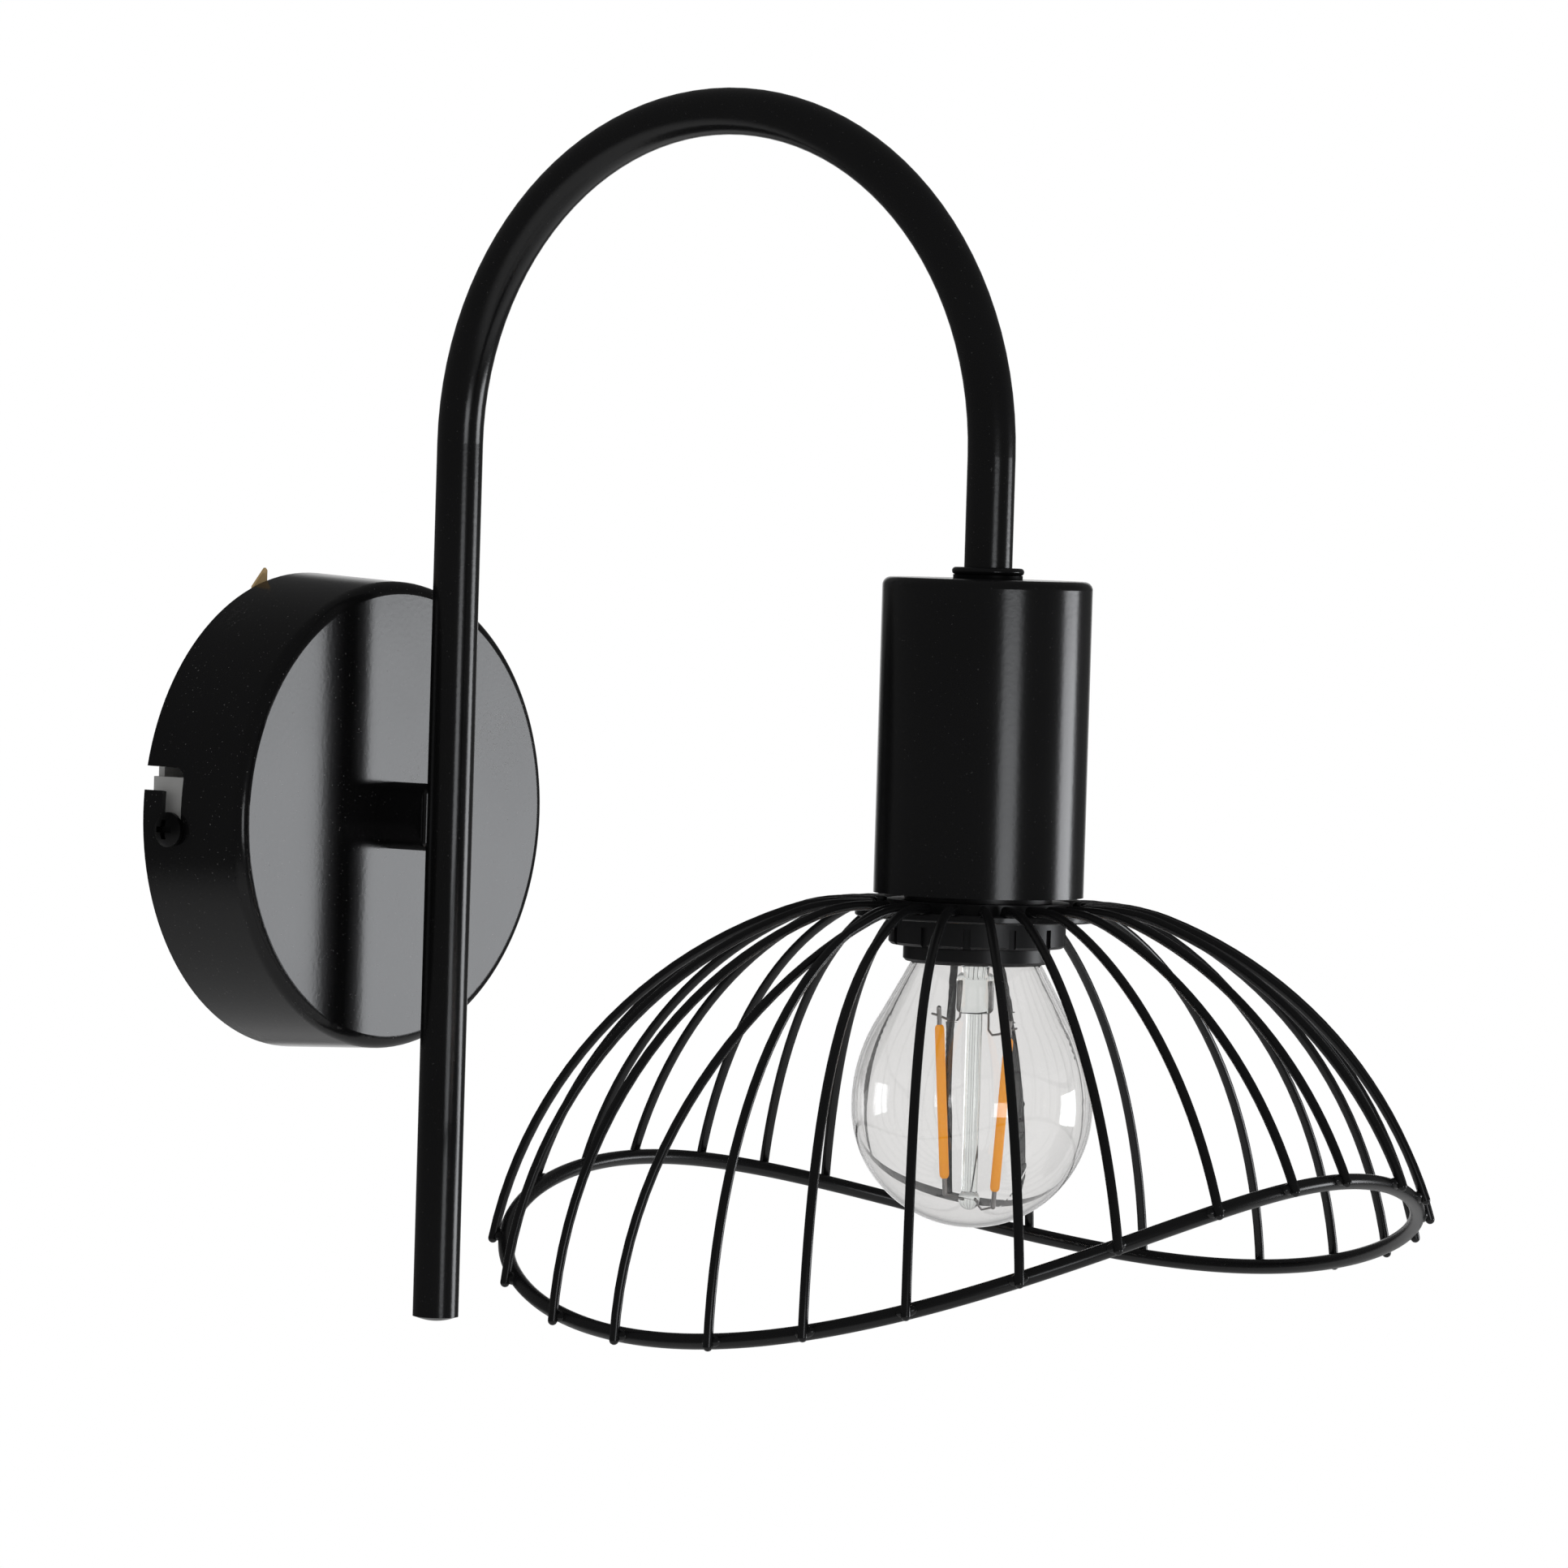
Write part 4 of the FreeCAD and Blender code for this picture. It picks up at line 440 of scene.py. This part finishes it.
def turn_at_height(height):
    """How far a wire has turned down at a height on its wide bend."""
    return math.acos((height - SWEEP_Z) / SWEEP_RADIUS)


def at_direction(direction, radius, height):
    """A point of the frame from its direction and distance round the shade's axis."""
    return Vector((radius * math.sin(direction), SHADE_Y - radius * math.cos(direction), height))


def wire_line(direction, askew):
    """Centre line of one wire: a flat stretch, a knee and the wide bend, its upper end turned askew."""
    bends = [(WIRE_START, WIRE_Z)]
    for k in range(KNEE_STEPS + 1):
        angle = KNEE_TURN * k / KNEE_STEPS
        drop = KNEE_RADIUS * (1 - math.cos(angle))
        bends.append((WIRE_FLAT_END + KNEE_RADIUS * math.sin(angle), WIRE_Z - drop))
    last = turn_at_height(rim_height(direction) - WIRE_PAST_RIM)
    for k in range(1, SWEEP_STEPS + 1):
        angle = KNEE_TURN + (last - KNEE_TURN) * k / SWEEP_STEPS
        bends.append((SWEEP_R + SWEEP_RADIUS * math.sin(angle), SWEEP_Z + SWEEP_RADIUS * math.cos(angle)))
    reach = bends[-1][0] - WIRE_START
    return [at_direction(direction + askew * (1 - (radius - WIRE_START) / reach), radius, height)
            for radius, height in bends]


def rim_point(direction, inward):
    """A point level with the rim, at a distance inside the wires' centre lines."""
    turn = turn_at_height(rim_height(direction))
    reach = SWEEP_RADIUS - inward
    return at_direction(direction, SWEEP_R + reach * math.sin(turn), SWEEP_Z + reach * math.cos(turn))


def rim_way(direction):
    """Which way the rim runs in a direction."""
    return rim_point(direction + NUDGE, TO_RIM) - rim_point(direction - NUDGE, TO_RIM)


def wire_directions(name):
    """Direction of each wire of a CAD node, found from its loose parts."""
    merged = bmesh.new()
    merged.from_mesh(nodes[name].data)
    merged.transform(nodes[name].matrix_world)
    bmesh.ops.remove_doubles(merged, verts=merged.verts, dist=SAME_PLACE)
    left = set(merged.verts)
    directions = []
    while left:
        part = [left.pop()]
        for vert in part:
            for edge in vert.link_edges:
                other = edge.other_vert(vert)
                if other in left:
                    left.discard(other)
                    part.append(other)
        middle = sum((vert.co for vert in part), Vector()) / len(part)
        directions.append(math.atan2(middle.x, SHADE_Y - middle.y) % (2 * math.pi))
    merged.free()
    return sorted(directions)


by_node = {node: wire_directions(node) for node in nodes if node.startswith("shade_wires_")}
all_directions = sorted(sum(by_node.values(), []))
askew = dict(zip(all_directions, [math.radians(turn) for turn in WIRES_ASKEW]))
for node, directions in by_node.items():
    lines = [wire_line(direction, askew[direction]) for direction in directions]
    bars(node.replace("shade", "cage"), lines, WIRE_RADIUS, wire_black, "shade", "black_paint", node)

rim_line = [rim_point(2 * math.pi * k / RIM_POINTS, TO_RIM) for k in range(RIM_POINTS)]
bars("cage_rim", [rim_line], RIM_RADIUS, wire_black, "shade", "black_paint", "shade_rim", closed=True)

feet = [rim_point(direction, RIM_FILLET_IN) for direction in all_directions]
fillets("rim_fillets", feet, [rim_way(direction) for direction in all_directions], RIM_FILLET_LONG)

welded = [direction + askew[direction] for direction in all_directions]
tops = [at_direction(direction, WIRE_START + DISC_FILLET_OUT, DISC_TOP_Z + DISC_FILLET_RISE)
        for direction in welded]
out_ways = [Vector((math.sin(direction), -math.cos(direction), 0)) for direction in welded]
fillets("disc_fillets", tops, out_ways, DISC_FILLET_LONG)


# ---------------------------------------------------------------- bulb cap
# Nickel-plated threaded shell, a black glass insulator, a drop of solder at the tip, and the small
# driver board that sits inside.
paint(plated("nickel", (0.5, 0.49, 0.47, 1), (0.68, 0.67, 0.64, 1), roughness=0.25), "bulb_shell")
paint(plated("solder", (0.4, 0.4, 0.4, 1), (0.58, 0.58, 0.57, 1), roughness=0.5), "bulb_pip")
paint(moulded("black_glass", (0.012, 0.008, 0.012, 1), (0.025, 0.018, 0.022, 1), roughness=0.12),
      "bulb_insulator")
paint(moulded("driver_board", (0.03, 0.12, 0.05, 1), (0.05, 0.17, 0.07, 1), roughness=0.4), "bulb_driver")


# ---------------------------------------------------------------- bulb glass
# The blown envelope, clear and very slightly uneven, and the stem and rod inside it, which are drawn
# glass with a greenish cast where they are pressed.
GLASS_IOR = 1.5
RIPPLE_SCALE = 30.0
RIPPLE_BUMP = 0.02
RIPPLE_DEPTH = 0.0005


def clear_glass(name, low, high, roughness):
    """Clear glass, rippled, with a faint cast between two colours and roughness at its dullest."""
    look = Look(name)
    ripple = look.noise(RIPPLE_SCALE, detail=1.0)
    look.finish(IOR=GLASS_IOR, Transmission_Weight=1.0, Base_Color=look.mix(ripple, low, high))
    return look.finish(Roughness=ripple * roughness, Normal=look.bump(ripple, RIPPLE_BUMP, RIPPLE_DEPTH))


paint(clear_glass("envelope_glass", (0.86, 0.855, 0.85, 1), (0.89, 0.885, 0.88, 1), roughness=0.01),
      "bulb_glass")
paint(clear_glass("stem_glass", (0.86, 0.9, 0.88, 1), (0.94, 0.96, 0.95, 1), roughness=0.04),
      "bulb_stem", "bulb_rod")


# ---------------------------------------------------------------- filaments and their mount
# Two rods coated in yellow silicone, splayed either side of the glass rod, one lower than the other.
# Each has a metal tab at both ends, and hooked wires hold it to the stem above and the rod below.
MOUNT_TURN = math.radians(-52.0)    # of the plane that holds both rods
FILAMENT_RADIUS = 0.0009
FILAMENT_LENGTH = 0.029
FILAMENT_SPREAD = 0.0056
FILAMENT_SPLAY = 0.0009   # more spread at a rod's top end than at its middle
FILAMENT_STAGGER = 0.0022
FILAMENT_TOP_Z = -0.0335
TAB_LENGTH = 0.0028
TAB_RADIUS = 0.00045
MOUNT_WIRE_RADIUS = 0.00022
HOOK_OUT = 0.0012         # end of the upper wire's hook, outward and up from the tab
HOOK_RISE = 0.0003
# Bends of a mount wire: distance from the bulb's axis, rise from the tab, depth off the mount's plane.
UPPER_BENDS = ((0.0046, -0.0009, 0.0002), (0.0034, -0.0011, 0.0004), (0.0027, -0.0002, 0.0005))
LOWER_BEND = (0.0024, -0.0006, 0.0006)
STEM_HOLD = (0.0025, -0.0245, 0.0004)    # where the stem grips the upper wire, with its height
ROD_HOLD = (0.0008, -0.065)              # and the rod's end the lower one
BEAD_SCALE = 700.0
BEAD_BUMP = 0.3
BEAD_DEPTH = 0.0003
# strength of the painted glow on the unlit filaments' coat, standing in for light shining through it from
# behind
PAINTED_GLOW = 0.4


def in_mount(across, height, deep=0.0):
    """A point of the frame from its place in the plane of the filaments."""
    return Vector((across * math.cos(MOUNT_TURN) - deep * math.sin(MOUNT_TURN),
                   SHADE_Y + across * math.sin(MOUNT_TURN) + deep * math.cos(MOUNT_TURN), height))


def along_rod(side, middle, rise):
    """Place across the mount and height of a point on a rod's line, from its rise above the middle."""
    lean = FILAMENT_SPLAY * 2 / FILAMENT_LENGTH
    return side * (FILAMENT_SPREAD + rise * lean), middle + rise


def upper_wire(side, across, tab_tip):
    """Line of the wire that hooks round a rod's upper tab and bends in to the stem."""
    neck = tab_tip - TAB_LENGTH / 2
    bends = [in_mount(side * out, neck + rise, deep) for out, rise, deep in UPPER_BENDS]
    out, height, deep = STEM_HOLD
    return [in_mount(across + side * HOOK_OUT, neck + HOOK_RISE), in_mount(across, neck), *bends,
            in_mount(side * out, height, deep)]


def lower_wire(side, across, tab_tip):
    """Line of the wire from a rod's lower tab to the end of the glass rod."""
    out, rise, deep = LOWER_BEND
    rod_out, rod_end = ROD_HOLD
    return [in_mount(across, tab_tip), in_mount(side * out, tab_tip + rise, deep),
            in_mount(side * rod_out, rod_end)]


def silicone(name):
    """Yellow silicone, beaded by the phosphor in it, with a little painted glow that stands in for light
    shining through it from behind.
    """
    look = Look(name)
    beads = look.noise(BEAD_SCALE)
    look.finish(Base_Color=look.mix(beads, (0.9, 0.32, 0.01, 1), (0.98, 0.42, 0.02, 1)))
    # Painted glow: the unlit coat emits a little, in place of light shining through it from behind.
    look.finish(Emission_Color=(1.0, 0.36, 0.02, 1), Emission_Strength=PAINTED_GLOW)
    look.finish(Roughness=beads.about(middle=0.5, spread=0.2))
    return look.finish(Normal=look.bump(beads, BEAD_BUMP, BEAD_DEPTH))


rods = []
tabs = []
mount_lines = []
for side in (-1, 1):
    middle = FILAMENT_TOP_Z - FILAMENT_LENGTH / 2 - side * FILAMENT_STAGGER / 2
    ends = [along_rod(side, middle, way * (FILAMENT_LENGTH / 2 - FILAMENT_RADIUS)) for way in (1, -1)]
    tips = [along_rod(side, middle, way * (FILAMENT_LENGTH / 2 + TAB_LENGTH)) for way in (1, -1)]
    rods.append([in_mount(*end) for end in ends])
    tabs += [[in_mount(*end), in_mount(*tip)] for end, tip in zip(ends, tips)]
    mount_lines += [upper_wire(side, *tips[0]), lower_wire(side, *tips[1])]

mount_metal = plated("mount_metal", (0.16, 0.15, 0.15, 1), (0.34, 0.33, 0.32, 1), roughness=0.35)
bars("filament_rods", rods, FILAMENT_RADIUS, silicone("silicone_coat"),
     "bulb", "filament_coat", "bulb_filaments")
bars("filament_tabs", tabs, TAB_RADIUS, mount_metal, "bulb", "nickel_shell")
bars("mount_wires", mount_lines, MOUNT_WIRE_RADIUS, mount_metal,
     "bulb", "nickel_shell", "filament_supports")


# ---------------------------------------------------------------- floor
# A round pale board, well below the light so that its shadow stays soft, and matt. Its edge fades
# away, so that the board runs into the white paper behind it.
FLOOR_Z = -0.3
FLOOR_RADIUS = 1.4
FLOOR_SIDES = 96
FLOOR_FADE = (0.45, 0.95)  # distance from its middle where it starts to fade, and where it is gone
floor_mesh = bpy.data.meshes.new("floor")
sheet = bmesh.new()
bmesh.ops.create_circle(sheet, cap_ends=True, segments=FLOOR_SIDES, radius=FLOOR_RADIUS)
sheet.to_mesh(floor_mesh)
sheet.free()
floor = bpy.data.objects.new("floor", floor_mesh)
floor.location = (0, SHADE_Y, FLOOR_Z)
bpy.context.scene.collection.objects.link(floor)

floor_look = Look("floor")
from_middle = floor_look.node("ShaderNodeVectorMath", {"operation": "LENGTH"}, {0: floor_look.place}, out=1)
board = floor_look.mix(floor_look.noise(scale=30.0), (0.86, 0.86, 0.86, 1), (0.9, 0.9, 0.9, 1))
floor_mesh.materials.append(
    floor_look.finish(Base_Color=board, Roughness=0.8, Alpha=1 - from_middle.above(*FLOOR_FADE)))


# ---------------------------------------------------------------- white paper and dim room
# White to the camera and through glass. Glossy surfaces see white only straight behind the light,
# where the paper hangs, and a dim room elsewhere.
ROOM_GLOSS = 0.08         # what mirrors see of the room, where white is 1
ROOM_LIGHT = 0.5          # and what lights the rest
PAPER_WAY = (0.79, 0.61, -0.03)
PAPER_RANGE = (0.93, 0.995)    # cosine off that way at the paper's edge, and where it is full white
world = bpy.data.worlds.new("studio")
bpy.context.scene.world = world
world.use_nodes = True
studio = Tree(world.node_tree)


def is_ray(kind):
    """1 for rays of a kind, 0 for all others."""
    return studio.node("ShaderNodeLightPath", out=f"Is {kind} Ray")


seen = is_ray("Camera").largest(is_ray("Transmission"))
way = studio.node("ShaderNodeTexCoord", out="Generated")
cosine = studio.node("ShaderNodeVectorMath", {"operation": "DOT_PRODUCT"}, {0: way, 1: PAPER_WAY}, out=1)
paper = cosine.above(*PAPER_RANGE)
room = ROOM_LIGHT + is_ray("Glossy") * (ROOM_GLOSS - ROOM_LIGHT + paper * (1 - ROOM_GLOSS))
background = world.node_tree.nodes["Background"]
background.inputs["Color"].default_value = (1, 1, 1, 1)
studio.feed(background.inputs["Strength"], room + seen * (1 - room))


# ---------------------------------------------------------------- soft lamps
# A large soft box right of the light, and a smaller and dimmer one near the camera. Both hang low,
# which keeps the arm's upper bend dark.
LAMP_DISTANCE = 1.3
LAMP_AIM = Vector((0, -0.12, -0.02))
LAMP_COLOUR = (0.95, 0.97, 1.0)


def softbox(name, azimuth, height, width, tall, radiance):
    """Rectangular lamp that faces the light, at an azimuth in degrees round it and a height above its aim."""
    data = bpy.data.lights.new(name, "AREA")
    data.shape = "RECTANGLE"
    data.size = width
    data.size_y = tall
    data.energy = radiance * math.pi * width * tall
    data.color = LAMP_COLOUR
    lamp = bpy.data.objects.new(name, data)
    turn = math.radians(azimuth)
    outward = Vector((math.sin(turn), -math.cos(turn), 0))
    lamp.location = LAMP_AIM + LAMP_DISTANCE * outward + Vector((0, 0, height))
    lamp.rotation_mode = "QUATERNION"
    lamp.rotation_quaternion = (LAMP_AIM - lamp.location).to_track_quat("-Z", "Y")
    bpy.context.scene.collection.objects.link(lamp)


softbox("right_box", azimuth=51.0, height=-0.09, width=0.52, tall=0.34, radiance=5.8)
softbox("front_box", azimuth=-24.0, height=-0.06, width=0.42, tall=0.26, radiance=4.0)


# ---------------------------------------------------------------- camera
# A long lens, to the left of the light and just above the bulb. Its place, and the ways that are
# right and up in its picture, are in the light's own frame.
CAMERA_PLACE = (-1.28158, -1.11618, 0.06595)
CAMERA_RIGHT = Vector((0.61368, -0.78900, 0.02963))
CAMERA_UP = Vector((0.00882, 0.04438, 0.99898))
SENSOR_WIDTH = 36.0       # millimetres, as is the lens
LENS = 196.7
camera_data = bpy.data.cameras.new("camera")
camera_data.sensor_width = SENSOR_WIDTH
camera_data.lens = LENS
camera = bpy.data.objects.new("camera", camera_data)
turned = Matrix((CAMERA_RIGHT, CAMERA_UP, CAMERA_RIGHT.cross(CAMERA_UP))).transposed().to_4x4()
camera.matrix_world = Matrix.Translation(CAMERA_PLACE) @ turned
bpy.context.scene.collection.objects.link(camera)
bpy.context.scene.camera = camera
bpy.context.scene.view_settings.view_transform = "Standard"
